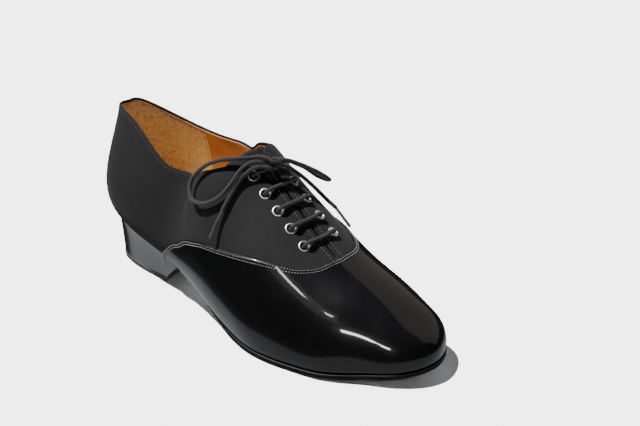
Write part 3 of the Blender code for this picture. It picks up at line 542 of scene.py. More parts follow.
# Stitches: insets of their rows, pitch and thickness of each thread, a stitch's share of its
# pitch, and its thickness and lift at stations along it
VAMP_STITCHES = (0.0012, 0.0029)
FACING_STITCH = 0.0038
COLLAR_STITCH = 0.0022
VAMP_THREAD = (0.0019, 0.0007)
FACING_THREAD = (0.0023, 0.00045)
TACK_THREAD = (0.0012, 0.0005)
COLLAR_THREAD = (0.0021, 0.0004)
GRIP_THREAD = (0.0022, 0.0004)
VAMP_STITCH_LEAN = 0.15
TACK_HALF_LENGTH = 0.0045
STITCH_SHARE = 0.72
STITCH_SIDES = 6
STITCH_STATIONS = (
    (-0.5, 0.25, -0.25),
    (-0.4, 0.75, 0.1),
    (-0.15, 1.0, 0.35),
    (0.15, 1.0, 0.35),
    (0.4, 0.75, 0.1),
    (0.5, 0.25, -0.25),
)

# Tones of the room by height, from straight down to straight up
WORLD_TONES = (
    (0.0, (0.45, 0.465, 0.49)),
    (0.20, (0.42, 0.435, 0.46)),
    (0.27, (0.42, 0.43, 0.45)),
    (0.284, (0.36, 0.37, 0.39)),
    (0.300, (0.020, 0.021, 0.023)),
    (0.38, (0.012, 0.012, 0.013)),
    (0.60, (0.010, 0.010, 0.011)),
    (0.80, (0.040, 0.042, 0.048)),
    (0.995, (0.075, 0.08, 0.09)),
)

FAR_SIDE_LEAN = (-0.20, -0.10, 1.0)

# Light: the sun, and panels by name, azimuth, elevation, size, power and colour
SUN_FROM = (-143, 66)
SUN_POWER = 17.0
SUN_WIDTH = math.radians(1.5)
PANEL_DISTANCE = 6.0
PANEL_TARGET = (0.11, 0, 0.05)
PANELS = (
    ("soft_low", -52, 16.5, (0.9, 0.42), 60.0, (1, 1, 1)),
    ("soft_high", -67, 37.5, (0.7, 0.2), 14.0, (1, 1, 1)),
    ("soft_glow", -70, 36, (2.2, 1.8), 4.5, (1, 1, 1)),
    ("soft_back", 84, 31, (8.0, 5.0), 45.0, (1.0, 0.86, 0.76)),
    ("fill", 100, 13, (4.0, 2.2), 240.0, (0.94, 0.97, 1.0)),
)

# Camera, fitted to the photograph
LENS = 72.39
SENSOR = 36.0
CAMERA_PLACE = (0.6811 - HEEL_CENTRE, -0.5343, 0.4662)
CAMERA_FORWARD = (-0.6043, 0.6525, -0.4572)
CAMERA_RIGHT = (0.7337, 0.6795, 0.0)
CAMERA_ROLL = 0.554


def placed(name, data):
    """New object in the scene."""
    made = bpy.data.objects.new(name, data)
    bpy.context.scene.collection.objects.link(made)
    return made


def add_camera():
    data = bpy.data.cameras.new("photo_camera")
    data.lens = LENS
    data.sensor_width = SENSOR
    data.clip_start = 0.01
    data.clip_end = 50
    camera = placed("photo_camera", data)
    forward = Vector(CAMERA_FORWARD).normalized()
    right = Vector(CAMERA_RIGHT).normalized()
    up = right.cross(forward)
    turned = Matrix.Rotation(math.radians(CAMERA_ROLL), 3, -forward)
    right, up = turned @ right, turned @ up
    basis_rows = Matrix((right, up, -forward)).transposed()
    camera.matrix_world = Matrix.Translation(CAMERA_PLACE) @ basis_rows.to_4x4()
    bpy.context.scene.camera = camera


def welded(points, faces):
    """Points and faces with coinciding points joined and flat or doubled faces left out."""
    _, first, names = np.unique(np.round(points, 7), axis=0, return_index=True, return_inverse=True)
    names = names.reshape(-1)
    seen = {}
    for face in faces:
        corners = []
        for corner in names[list(face)]:
            if corner not in corners:
                corners.append(int(corner))
        if len(corners) > 2:
            seen.setdefault(tuple(sorted(corners)), []).append(corners)
    return points[first], [same[0] for same in seen.values() if len(same) == 1]


def add_piece(name, points, faces, finish, nodes=(), sharp=None):
    """Mesh piece that rides with the shoe and stands for the named solids."""
    mesh = bpy.data.meshes.new(name)
    mesh.from_pydata((np.asarray(points) + ORIGIN).tolist(), [], [list(map(int, face)) for face in faces])
    mesh.materials.append(finish)
    mesh.shade_smooth()
    if sharp is not None:
        mesh.set_sharp_from_angle(angle=math.radians(sharp))
    obj = placed(name, mesh)
    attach(obj, "root")
    if nodes:
        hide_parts(*nodes)
    return obj


def sheet_faces(columns, rows, wrapped):
    """Faces of a closed wall between two grids of columns by rows."""
    offset = columns * rows
    last = columns if wrapped else columns - 1
    faces = []
    for i in range(last):
        j = (i + 1) % columns
        for k in range(rows - 1):
            a, b, c, d = i * rows + k, j * rows + k, j * rows + k + 1, i * rows + k + 1
            faces.append((a, b, c, d))
            faces.append((offset + d, offset + c, offset + b, offset + a))
        for k, flip in ((0, False), (rows - 1, True)):
            a, b = i * rows + k, j * rows + k
            face = (a, offset + a, offset + b, b)
            faces.append(face[::-1] if flip else face)
    if not wrapped:
        for i, flip in ((0, True), (columns - 1, False)):
            for k in range(rows - 1):
                a, b = i * rows + k, i * rows + k + 1
                face = (a, offset + a, offset + b, b)
                faces.append(face[::-1] if flip else face)
    return faces


def add_sheet(name, outer, inner, finish, nodes=(), slot=None, wrapped=False, flipped=False):
    """Piece between two grids of points, closed along its edges."""
    points = np.concatenate([outer.reshape(-1, 3), inner.reshape(-1, 3)])
    points, faces = welded(points, sheet_faces(*outer.shape[:2], wrapped))
    if flipped:
        faces = [face[::-1] for face in faces]
    return add_piece(name, points, faces, finish, nodes)


def ring_faces(rings, sides, closed=False):
    """Faces between rings of points, from the last ring back to the first as well when closed."""
    faces = []
    for k in range(rings if closed else rings - 1):
        low, high = k * sides, (k + 1) % rings * sides
        for i in range(sides):
            j = (i + 1) % sides
            faces.append((low + i, low + j, high + j, high + i))
    return faces


def moved(faces, start):
    """Faces whose corners are counted from a later start."""
    return [tuple(start + corner for corner in face) for face in faces]


def circle(centre, across, up, radius, sides):
    """Points round a centre in the plane of two directions."""
    turns = [2 * math.pi * i / sides for i in range(sides)]
    return [centre + radius * (math.cos(turn) * across + math.sin(turn) * up) for turn in turns]


def rounding(distance, radius):
    """How far a rounded edge falls away at a distance from it."""
    inside = radius - np.minimum(distance, radius)
    return radius - np.sqrt(np.maximum(radius**2 - inside**2, 0))


def dense_rows():
    """Columns round the upper, closest together where the facings turn into the collar."""
    outer = [rows_between(*stretch)[:-1] for stretch in COLUMN_STRETCHES]
    outer = np.concatenate(outer + [[LAST_ROW]])
    return np.concatenate([outer, RING_ROWS - outer[-2:0:-1]])


def metres_per_rise(rows, top):
    """Length of wall for a whole unit of rise, measured just below a place."""
    step = 0.01
    return np.linalg.norm(last_point(rows, top) - last_point(rows, top - step), axis=-1) / step


def wall_grid(rows, drop, steps):
    """Rows, rises and distances from the edge of a wall whose edge lies a drop below the rim."""
    top = rim(rows)
    speed = metres_per_rise(rows, top)
    is_open = folded(rows) < THROAT_ROW - 1e-6
    top = top - drop / speed
    edge = EDGE_STEPS + 0 * top[:, None]
    below = EDGE_STEPS[-1] + np.linspace(0, 1, steps)[1:] * (top * speed - EDGE_STEPS[-1])[:, None]
    distance = np.concatenate([edge, below], 1)
    rise = np.clip(top[:, None] - distance / speed[:, None], 0, 1)
    rise[:, -1] = 0
    row = np.repeat(rows[:, None], distance.shape[1], axis=1)
    distance = np.where(is_open[:, None], distance, 1.0)
    return row, rise, distance


def wall_piece(name, depth, thickness, drop, finish, nodes=()):
    """Wall of the upper between two depths under the last's surface, open at the collar."""
    rows = dense_rows()
    place = folded(rows)
    fade = 0.2
    slit = np.clip((place - CORNER_ROW + 0.05) / fade, 0, 1)
    slit = slit * np.clip((THROAT_ROW + 0.4 - place) / fade, 0, 1)
    set_back = np.where(place < THROAT_ROW, drop, 0) + slit * (LINING_SLIT_DROP if drop else 0)
    row, rise, distance = wall_grid(rows, set_back, 44)
    fall = rounding(distance, thickness / 2)
    outer = shifted(row, rise, -depth - fall)
    inner = shifted(row, rise, -depth - thickness + fall)
    return add_sheet(name, outer, inner, finish, nodes, wrapped=True)


def hole_cutter():
    """Cylinders through the wall at the eyelets, as a helper for the cuts."""
    radius = EYELET_BORE_RADIUS + EYELET_BARREL_WALL
    points, faces = [], []
    for _, row, rise in eyelet_places():
        centre, first, second, axis = frame_on_last(row, rise)
        start = len(points)
        for height in (-WALL - HOLE_REACH, HOLE_REACH):
            points.extend(circle(centre + height * axis + ORIGIN, first, second, radius, HOLE_SIDES))
        low = tuple(range(start, start + HOLE_SIDES))
        high = tuple(range(start + HOLE_SIDES, start + 2 * HOLE_SIDES))
        faces += [low[::-1], high] + moved(ring_faces(2, HOLE_SIDES), start)
    mesh = bpy.data.meshes.new("hole_cutter")
    mesh.from_pydata([tuple(point) for point in points], [], faces)
    return placed("hole_cutter", mesh)


def cut_holes(pieces, cutter):
    """Cuts the eyelet holes and applies the result."""
    for piece in pieces:
        modifier = piece.modifiers.new("holes", "BOOLEAN")
        modifier.operation = "DIFFERENCE"
        modifier.solver = "EXACT"
        modifier.object = cutter
        graph = bpy.context.evaluated_depsgraph_get()
        cut = bpy.data.meshes.new_from_object(piece.evaluated_get(graph))
        piece.modifiers.clear()
        piece.data = cut
        cut.shade_smooth()
    bpy.data.objects.remove(cutter, do_unlink=True)


def frame_on_last(row, rise):
    """Centre, two directions across and the outward normal at a place on the last."""
    centre = last_point(row, rise)
    axis = wall_normal(row, rise)
    first = unit(np.cross(axis, (0.0, 0.0, 1.0)))
    return centre, first, np.cross(axis, first), axis


def both_sides(row, rise):
    """Rows and rises of the outer side, carried on over the inner side without the middle twice."""
    return np.concatenate([row, RING_ROWS - row[-2::-1]]), np.concatenate([rise, rise[-2::-1]])


def seam_line(count):
    """Rows and rises along the whole seam of the vamp, from wing to wing over the throat."""
    return both_sides(*seam_curve(count))


def add_overlay(name, row, rise, lift, finish, node, slot):
    """Sheet on the last that stands for a node: its lift is its thickness at each place."""
    under = shifted(row, rise, np.full(row.shape, OVERLAY_LIFT))
    return add_sheet(name, shifted(row, rise, lift), under, finish, (node,), slot)


def distance_to_line(points, line):
    """Distance of each point to the nearest of the line's points."""
    flat = points.reshape(-1, 3)
    nearest = np.empty(len(flat))
    for start in range(0, len(flat), 2000):
        block = flat[start : start + 2000]
        nearest[start : start + 2000] = np.sqrt(((block[:, None] - line[None]) ** 2).sum(-1)).min(1)
    return nearest.reshape(points.shape[:-1])


def make_vamp(finish):
    """Patent overlay: columns from the seam down the sides, then round the toe."""
    seam_row, seam_rise = seam_curve(110)
    throat, start = VAMP_SEAM[-1][0], VAMP_SEAM[0][0]
    low_row = start + (throat - start) * (np.linspace(0, 1, len(seam_row)) ** 0.95)
    metres_per_row, first_stretch = 0.019, 0.16
    past_edge = np.linspace(0, 1, 40)[1:] * (LAST_ROW - throat - first_stretch) + first_stretch
    ahead = throat + np.concatenate([EDGE_STEPS[1:] / metres_per_row, past_edge])
    rows, rises = [], []
    for top, height, low in zip(seam_row, seam_rise, low_row):
        length = np.linalg.norm(last_point(top, height) - last_point(low, 0.0)) + 1e-4
        edge = np.minimum(EDGE_STEPS / length, 0.5)
        share = np.concatenate([edge, np.linspace(edge[-1], 1, 36)[1:]])
        rows.append(top + (low - top) * share)
        rises.append(height * (1 - share))
    for place in ahead:
        rows.append(np.full(len(share), place))
        rises.append(1 - share)
    row, rise = both_sides(np.array(rows)[1:], np.array(rises)[1:])
    away = distance_to_line(last_point(row, rise), last_point(*seam_line(900)))
    lift = VAMP_THICKNESS - rounding(away, VAMP_THICKNESS * EDGE_ROLL)
    thinned, thinning_rise = 0.35, 0.05
    lift = lift * (1 - thinned * np.clip(1 - rise / thinning_rise, 0, 1) ** 2)
    add_overlay("vamp_patent", row, rise, lift, finish, "vamp", "patent")


def make_back_strip(finish):
    """Patent strip up the heel, with its rounded tail at the collar."""
    back = np.zeros(2)
    whole = np.linalg.norm(np.diff(last_point(back, np.array([0.0, rim(back)[0]])), axis=0))
    tab = TAIL_WIDTH / whole
    edge = EDGE_STEPS / whole
    upper_heights = np.linspace(1 - tab, 1 - edge[-1], 30)[1:]
    heights = np.concatenate([np.linspace(0, 1 - tab, 30), upper_heights, 1 - edge[-2::-1]])
    side = np.linspace(-1, 1, 41)
    side = np.sign(side) * (1 - (1 - np.abs(side)) ** 1.5)
    height, side = np.meshgrid(heights, side, indexing="ij")
    half = (STRIP_WIDTH + (STRIP_TOP_WIDTH - STRIP_WIDTH) * height) / 2
    share = np.clip((height - 1 + tab / 2) / (tab / 2), -1, 1)
    tail = TAIL_LENGTH * np.sqrt(1 - share**2)
    reach = side * half + np.clip(side, 0, 1) * tail
    row = -np.sign(reach) * row_at(height * rim(back)[0], np.abs(reach))
    rise = height * (rim(row) - STRIP_DROP / whole)
    border = np.minimum((1 - np.abs(side)) * (half + np.where(side > 0, tail, 0)), (1 - height) * whole)
    lift = STRIP_LEATHER - rounding(border, STRIP_LEATHER * EDGE_ROLL)
    add_overlay("back_strip_patent", row, rise, lift, finish, "back_strip", "patent_strip")


def make_grip(finish):
    """Napped panel inside the back of the heel."""
    rows = np.linspace(-GRIP_ROW, GRIP_ROW, 61)
    top = rim(rows)
    top = top - 2.2 * LINING_DROP / metres_per_rise(rows, top)
    share = np.linspace(0, 1, 40)
    rise = GRIP_LOW_RISE + (top - GRIP_LOW_RISE)[:, None] * share
    row = rows[:, None] * (1 + GRIP_SPREAD * (1 - share))
    border = np.minimum(np.minimum(GRIP_ROW - np.abs(rows)[:, None], 0.5) * 0.02, (1 - share) * 0.06)
    lift = GRIP_THICKNESS - rounding(border, GRIP_THICKNESS)
    inner = shifted(row, rise, -WALL - lift)
    outer = shifted(row, rise, np.full(row.shape, -WALL + 0.0001))
    add_sheet("heel_grip", inner, outer, finish, flipped=True)


def make_tongue(top_finish, low_finish):
    """Tongue with a crease along its middle, in two layers."""
    step, side = np.meshgrid(np.linspace(0, 1, 70), np.linspace(-1, 1, 61), indexing="ij")
    top = TONGUE_TOP_ROW + TONGUE_ROUNDING * np.abs(side) ** TONGUE_CORNER_POWER
    row = TONGUE_SEWN_ROW + (top - TONGUE_SEWN_ROW) * step
    distance = np.abs(side) * TONGUE_HALF_WIDTH * (TONGUE_TAPER + (1 - TONGUE_TAPER) * step)
    rise = np.where(np.abs(side) < 1e-9, 1.0, rise_at(row, distance))
    row = np.where(side > 0, RING_ROWS - row, row)
    crease = np.clip(1 - distance / TONGUE_CREASE_REACH, 0, 1) ** 2 * TONGUE_CREASE_DROP
    border = np.minimum((1 - np.abs(side)) * TONGUE_HALF_WIDTH, (1 - step) * TONGUE_LENGTH)
    for name, depth, thick, finish, nodes in (
        ("tongue_nubuck", WALL + TONGUE_GAP, TONGUE_FACE, top_finish, ("tongue",)),
        ("tongue_lining", WALL + TONGUE_GAP + TONGUE_FACE + LINING_GAP, TONGUE_LINING, low_finish, ()),
    ):
        fall = rounding(border, thick / 2)
        high = shifted(row, rise, -depth - crease - fall)
        low = shifted(row, rise, -depth - thick - crease + fall)
        add_sheet(name, high, low, finish, nodes)


def footbed_grid(inset, first_row, last_row, columns, across):
    """Plan points from the outer to the inner side at each row, and the distance to the border."""
    rows = np.linspace(first_row, last_row, columns)
    out_x, out_y = plan_ring(rows, np.full(rows.shape, inset))
    in_x, in_y = plan_ring(RING_ROWS - rows, np.full(rows.shape, inset))
    share = np.linspace(0, 1, across)
    share = (1 - np.cos(share * math.pi)) / 2
    x = out_x[:, None] + (in_x - out_x)[:, None] * share
    y = out_y[:, None] + (in_y - out_y)[:, None] * share
    width = np.hypot(in_x - out_x, in_y - out_y)[:, None]
    return x, y, np.minimum(share, 1 - share) * width


def add_footbed(name, x, y, high, low, finish, nodes=(), slot=None):
    """Sheet over the sole line between two heights above it."""
    base = sole_line(x)
    layers = [np.stack([x, y, base + height], -1) for height in (high, low)]
    add_sheet(name, *layers, finish, nodes, slot)


def make_insole(finish, pad_finish):
    """Insole with a low lip at its border, and the heel pad with its bowed front edge."""
    x, y, border = footbed_grid(WALL + 0.0003, 0.02, LAST_ROW - 0.02, 90, 31)
    top = INSOLE_THICKNESS + LIP_HEIGHT * np.exp(-border / LIP_REACH)
    add_footbed("insole_leather", x, y, top, 0.0002, finish, ("insole",), "insole_leather")
    x, y, border = footbed_grid(WALL + 0.0012, 0.03, 3.75, 50, 31)
    centre = (x.max() + x.min()) / 2
    bow = np.clip((x - centre) / (x.max() - centre), 0, 1) ** 2
    share = (y - y.mean()) / PAD_HALF_WIDTH
    x = x + PAD_BOW * bow * (1 - share**2)
    near = np.minimum(border, x.max(axis=0) - x)
    height = PAD_HEIGHT - rounding(near, PAD_HEIGHT) + LIP_HEIGHT * np.exp(-border / LIP_REACH)
    add_footbed("heel_pad", x, y, INSOLE_THICKNESS + height, INSOLE_THICKNESS - 0.0004, pad_finish)


def make_outsole(finish, bottom_finish):
    """Outsole of two layers, as rings of depth below the sole line and inset from the upper."""
    outer = rows_between(BREAST_ROW + 0.02, LAST_ROW, 10)
    rows = np.concatenate([outer, RING_ROWS - outer[-2::-1]])
    x, _ = foot(rows)
    tuck = waist(x)
    edge = -SOLE_MARGIN + (SOLE_MARGIN + WAIST_TUCK) * tuck
    middle = SOLE_THICKNESS / 2
    bevel = WAIST_BEVEL * tuck
    levels = (
        (0.00015, edge + 0.0025),
        (0.0, edge + 0.0003),
        (0.0002, edge),
        (middle - 0.0005, edge - 0.00005),
        (middle - 0.00025, edge + 0.0001),
        (middle, edge + EDGE_GROOVE),
        (middle + 0.00025, edge + 0.0001),
        (middle + 0.0005, edge - 0.00005),
        (SOLE_THICKNESS * 0.80, edge + bevel * 0.4),
        (SOLE_THICKNESS * 0.92, edge + 0.0002 + bevel * 0.75),
        (SOLE_THICKNESS - 0.0001, edge + 0.0007 + bevel),
        (SOLE_THICKNESS, edge + 0.0015 + bevel),
    )
    rings = []
    for depth, inset in levels:
        ring_x, ring_y = plan_ring(rows, inset)
        ring_x = np.maximum(ring_x, x[0])
        rings.append(np.stack([ring_x, ring_y, sole_line(ring_x) - depth - 0.00005 * (depth < 0.003)], -1))
    count = len(rows)
    faces = [(b, c, d, a) for a, b, c, d in ring_faces(len(rings), count)]
    half = (count - 1) // 2
    bottom = (len(rings) - 1) * count
    for i in range(half):
        cap = [i, i + 1, count - 2 - i, count - 1 - i]
        if i == half - 1:
            cap.pop(2)
        faces += [cap[::-1], [bottom + corner for corner in cap]]
    points = np.concatenate(rings)
    piece = add_piece("outsole_leather", points, faces, finish, ("outsole",), 40)
    piece.data.materials.append(bottom_finish)
    for polygon in piece.data.polygons:
        if min(polygon.vertices) >= (len(rings) - 2) * count:
            polygon.material_index = 1


def lofted(rings):
    """Points and faces of a loft through rings, closed by fans."""
    count = len(rings[0])
    points = np.concatenate(rings + [rings[0].mean(axis=0)[None], rings[-1].mean(axis=0)[None]])
    faces = ring_faces(len(rings), count)
    last = (len(rings) - 1) * count
    for i in range(count):
        j = (i + 1) % count
        faces.append((j, i, len(points) - 2))
        faces.append((last + i, last + j, len(points) - 1))
    return points, faces


def heel_ring(share, margin=0.0, inset=0.0):
    """Outline of the heel at a share of its height, closed by the hollowed breast."""
    rows = rows_between(-BREAST_ROW, BREAST_ROW, 10)
    x, y = plan_ring(rows, GAP - margin + inset)
    x = x * (1 - (1 - TIP_LENGTH_SHARE) * share) - TIP_BACK_SHIFT * share
    y = y * (1 - (1 - TIP_WIDTH_SHARE) * share**0.85)
    breast = np.linspace(-1, 1, 25)[1:-1]
    hollow = BREAST_HOLLOW * share * (2 - share)
    ends_x = (x[0] + x[-1]) / 2 - inset
    breast_x = ends_x - hollow * (1 - breast**2)
    breast_y = y[-1] + (y[0] - y[-1]) * (breast + 1) / 2
    return np.concatenate([x, breast_x]), np.concatenate([y, breast_y])


def make_heel(finish, tip_finish):
    rings = []
    for share in np.linspace(0, 1, 29):
        x, y = heel_ring(share)
        seat = sole_line(x) - 0.0001
        rings.append(np.stack([x, y, seat + (TIP_THICKNESS + 0.00015 - seat) * share], -1))
    x, y = heel_ring(1.0, inset=0.0004)
    rings.append(np.stack([x, y, np.full(len(x), TIP_THICKNESS)], -1))
    points, faces = lofted(rings)
    add_piece("heel_block", points, faces, finish, ("heel",), 35)
    rings = []
    for z, inset in TIP_LEVELS:
        x, y = heel_ring(1.0, TIP_MARGIN, inset=inset)
        rings.append(np.stack([x, y, np.full(len(x), z)], -1))
    points, faces = lofted(rings)
    add_piece("heel_tip", points, faces, tip_finish, ("top_piece",), 35)


def make_eyelets(finish):
    """Rings with a rolled flange: a profile of radius and height, turned round the bore."""
    barrel = EYELET_BORE_RADIUS + EYELET_BARREL_WALL
    roll = EYELET_ROLL_WIDTH / 2
    middle = EYELET_FLANGE_RADIUS - roll
    profile = [(EYELET_BORE_RADIUS, -EYELET_DEPTH), (EYELET_BORE_RADIUS, -0.0008), (middle - roll, 0.0001)]
    for turn in np.linspace(math.pi, 0, 11):
        profile.append((middle + roll * math.cos(turn), 0.00025 + 0.55 * roll * math.sin(turn)))
    profile += [(EYELET_FLANGE_RADIUS, 0.00005), (barrel, 0.00002), (barrel, -EYELET_DEPTH)]
    faces = ring_faces(EYELET_SIDES, len(profile), closed=True)
    for side, row, rise in eyelet_places():
        centre, first, second, axis = frame_on_last(row, rise)
        points = []
        for out in circle(0, first, second, 1, EYELET_SIDES):
            points.extend(centre + radius * out + height * axis for radius, height in profile)
        add_piece(f"ring_{side}", points, faces, finish, (f"eyelet_{side}",), 50)


def tube(points, radius, sides):
    """Points and faces of a round tube with domed ends, and each point's place along and round it."""
    path = np.asarray(points, float)
    run = unit(np.gradient(path, axis=0))
    walked = walked_along(path)
    side = unit(np.cross(run[0], (0.3, 0.5, 0.8)))
    pairs = []
    for ahead in run:
        side = unit(side - ahead * side.dot(ahead))
        pairs.append((side, np.cross(ahead, side)))
    turns = np.linspace(0.25, 0.5 * math.pi, 4)[:-1]
    dome = [(0.6 * radius * math.cos(turn), radius * math.sin(turn)) for turn in turns]
    stations = [(path[0] - run[0] * back, pairs[0], size, 0.0) for back, size in dome]
    stations += [(centre, pair, radius, along) for centre, pair, along in zip(path, pairs, walked)]
    stations += [(path[-1] + run[-1] * back, pairs[-1], size, walked[-1]) for back, size in dome[::-1]]
    rings, places = [], []
    for centre, pair, size, along in stations:
        rings.extend(circle(centre, *pair, size, sides))
        places.extend((along, i / sides) for i in range(sides))
    count = len(stations)
    faces = ring_faces(count, sides)
    faces.append(tuple(range(sides))[::-1])
    faces.append(tuple(range((count - 1) * sides, count * sides)))
    return np.array(rings), faces, np.array(places)


def add_tube(name, points, radius, finish, nodes=(), sides=14):
    made, faces, places = tube(points, radius, sides)
    piece = add_piece(name, made, faces, finish, nodes)
    layer = piece.data.uv_layers.new(name="run")
    for polygon in piece.data.polygons:
        wraps = max(places[v][1] for v in polygon.vertices) > 0.75
        for loop, vertex in zip(polygon.loop_indices, polygon.vertices):
            along, turn = places[vertex]
            if wraps and turn < 0.25 and len(polygon.vertices) == 4:
                turn += 1
            layer.data[loop].uv = (along / (2 * math.pi * radius), turn)
    return piece


def add_cord(name, points, finish, node):
    """Stretch of lace as a tube along a smooth curve through the points."""
    path = curve_through(points, LACE_DIAMETER * 0.4)
    piece = add_tube(name, path, LACE_DIAMETER / 2, finish, (node,))
    return piece


def make_bow(finish, aglet_finish):
    """Loops and ends of the bow as cords, their tips, and the knot that holds them."""
    aglets = []
    for name, points in (("aglet_near", AGLET_NEAR), ("aglet_far", AGLET_FAR)):
        path = curve_through(points, 0.001)
        radius = AGLET_DIAMETER / 2
        aglets.append(add_tube(f"{name}_tube", path, radius, aglet_finish, (name,)))
    for name, points, far_end, tips in (
        ("loop_near", LOOP_NEAR, "knot", []),
        ("loop_far", LOOP_FAR, "knot", []),
        ("end_near", END_NEAR, "fitting", aglets[:1]),
        ("end_far", END_FAR, "fitting", aglets[1:]),
    ):
        add_cord(name, points, finish, f"lace_{name}")

    centre = np.array(KNOT_CENTRE)
    wrap = []
    for turn in np.radians(np.linspace(-160, 160, 40)):
        round_knot = np.array([-0.95 * math.cos(turn), 0.0, math.sin(turn)])
        wrap.append(centre + KNOT_REACH * round_knot + np.array([0.0, KNOT_SLIDE * turn / math.pi, 0.0]))
    add_tube("knot_wrap", wrap, KNOT_CORD, finish, ("lace_knot",))
    strands = (
        (LOOP_NEAR[0], centre + (0.0009, 0, 0.0011), LOOP_FAR[-1]),
        (LOOP_NEAR[-1], centre + (-0.0008, 0, 0.0002), LOOP_FAR[0]),
        (END_NEAR[0], centre + (0.0004, 0, -0.0016), END_FAR[0]),
    )
    for number, strand in enumerate(strands, 1):
        add_tube(f"knot_strand_{number}", curve_through(strand, 0.0008), KNOT_CORD, finish, ())


def make_lace_bars(finish):
    """Bars straight across the throat, from eyelet to eyelet, over the crest of the foot."""
    half = (
        (EYELET_SETBACK, -0.5 * LACE_DIAMETER),
        (EYELET_SETBACK, 0.4 * LACE_DIAMETER),
        (EYELET_SETBACK - EYELET_BORE_RADIUS, BAR_HEIGHT),
        (EYELET_SETBACK - 2 * EYELET_FLANGE_RADIUS, BAR_REST),
    )
    for number, row in enumerate(eyelet_rows()[0], 1):
        near = [shifted(row, rise_at(row, distance), height) for distance, height in half]
        far = [shifted(RING_ROWS - row, rise_at(row, distance), height) for distance, height in half]
        top = shifted(row, 1.0, BAR_CREST)
        route = curve_through(near + [top] + far[::-1], LACE_DIAMETER * 0.3)
        add_tube(f"bar_{number}", route, LACE_DIAMETER / 2, finish, (f"lace_bar_{number}",), 18)


def stitch_row(places, height, pitch, thickness, lean=0.0):
    """Points and faces of stitches along places on the last.

    places: rows and rises of the line. height: how far it lies off the last's surface.
    """
    row, rise = places
    path = shifted(row, rise, np.full(row.shape, height))
    normal = last_normal(row, rise) * math.copysign(1, height)
    walked = walked_along(path)

    def at(place, values):
        return np.array([np.interp(place, walked, values[:, k]) for k in range(3)])

    last = (len(STITCH_STATIONS) - 1) * STITCH_SIDES
    pattern = [(a, d, c, b) for a, b, c, d in ring_faces(len(STITCH_STATIONS), STITCH_SIDES)]
    pattern += [tuple(range(STITCH_SIDES)), tuple(range(last, last + STITCH_SIDES))[::-1]]
    count = max(1, int(walked[-1] / pitch))
    points, faces = [], []
    for number in range(count):
        middle = (number + 0.5) * walked[-1] / count
        run = unit(at(middle + pitch / 2, path) - at(middle - pitch / 2, path))
        out = at(middle, normal)
        out = unit(out - run * out.dot(run))
        run = math.cos(lean) * run + math.sin(lean) * np.cross(run, out)
        side = np.cross(run, out)
        faces += moved(pattern, len(points))
        for along, size, lift in STITCH_STATIONS:
            centre = at(middle, path) + run * along * pitch * STITCH_SHARE + out * lift * thickness
            points.extend(circle(centre, side, out, 0.5 * thickness * size, STITCH_SIDES))
    return points, faces


def add_stitches(name, rows_of_stitches, finish):
    """One piece from several rows of stitches."""
    points, faces = [], []
    for made_points, made_faces in rows_of_stitches:
        faces += moved(made_faces, len(points))
        points += made_points
    add_piece(name, points, faces, finish)


def dot(a, b):
    return (a * b).sum(-1)


def line_beside_seam(inset):
    """Rows and rises of a line that runs an inset below the vamp's edge."""
    row, rise = seam_line(400)
    run = unit(np.gradient(last_point(row, rise), axis=0))
    target = np.cross(run, wall_normal(row, np.clip(rise, 0.002, 0.998))) * inset
    step = 1e-3
    up, down = np.minimum(rise + step, 1), rise - step
    along_row = (last_point(row + step, rise) - last_point(row - step, rise)) / (2 * step)
    along_rise = (last_point(row, up) - last_point(row, down)) / (up - down)[:, None]
    a11, a12, a22 = dot(along_row, along_row), dot(along_row, along_rise), dot(along_rise, along_rise)
    b1, b2 = dot(along_row, target), dot(along_rise, target)
    det = a11 * a22 - a12**2
    return row + (b1 * a22 - b2 * a12) / det, np.clip(rise + (b2 * a11 - b1 * a12) / det, 0, 1)


def facing_line(distance, first, last, count=120):
    """Rows and rises of a line on the outer side at a distance from the facing's edge."""
    row = np.linspace(first, last, count)
    return row, rise_at(row, slit_half(row) + distance)


def mirrored(places):
    return RING_ROWS - places[0], places[1]


def collar_line(drop, first, last, count=200):
    """Rows and rises of a line that runs a drop below the rim."""
    row = np.linspace(first, last, count)
    top = rim(row)
    return row, top - drop / metres_per_rise(row, top)


def make_stitches(black, grey, tan, brown):
    """Seams of the vamp, facings with their bar tack, collar and heel grip."""
    lines = [line_beside_seam(inset) for inset in VAMP_STITCHES]
    seams = [stitch_row(line, VAMP_THICKNESS, *VAMP_THREAD, VAMP_STITCH_LEAN) for line in lines]
    add_stitches("stitches_vamp", seams, grey)
    line = facing_line(FACING_STITCH, THROAT_ROW + 0.1, 7.15)
    facings = [stitch_row(places, OVERLAY_LIFT, *FACING_THREAD) for places in (line, mirrored(line))]
    tack = np.linspace(-1, 1, 12)
    tack_row = THROAT_ROW + 0.12 + 0 * tack
    tack_rise = rise_at(tack_row, np.abs(tack) * TACK_HALF_LENGTH)
    for shift in (0.0, 0.05, 0.10):
        row = np.where(tack > 0, RING_ROWS - tack_row - shift, tack_row + shift)
        facings.append(stitch_row((row, tack_rise), OVERLAY_LIFT, *TACK_THREAD))
    add_stitches("stitches_facing", facings, brown)
    collar = [
        stitch_row(collar_line(COLLAR_STITCH, first, last), OVERLAY_LIFT, *COLLAR_THREAD)
        for first, last in ((0.55, 6.35), (RING_ROWS - 6.35, RING_ROWS - 1.7))
    ]
    add_stitches("stitches_quarters", collar, black)
    row = np.full(80, GRIP_ROW - 0.06)
    rise = np.linspace(0.12, 0.97, 80) * rim(row)
    row = row * (1 + GRIP_SPREAD * (1 - np.linspace(0, 1, 80)))
    grips = [stitch_row((side * row, rise), -WALL - GRIP_THICKNESS, *GRIP_THREAD) for side in (1, -1)]
    add_stitches("stitches_lining", grips, tan)


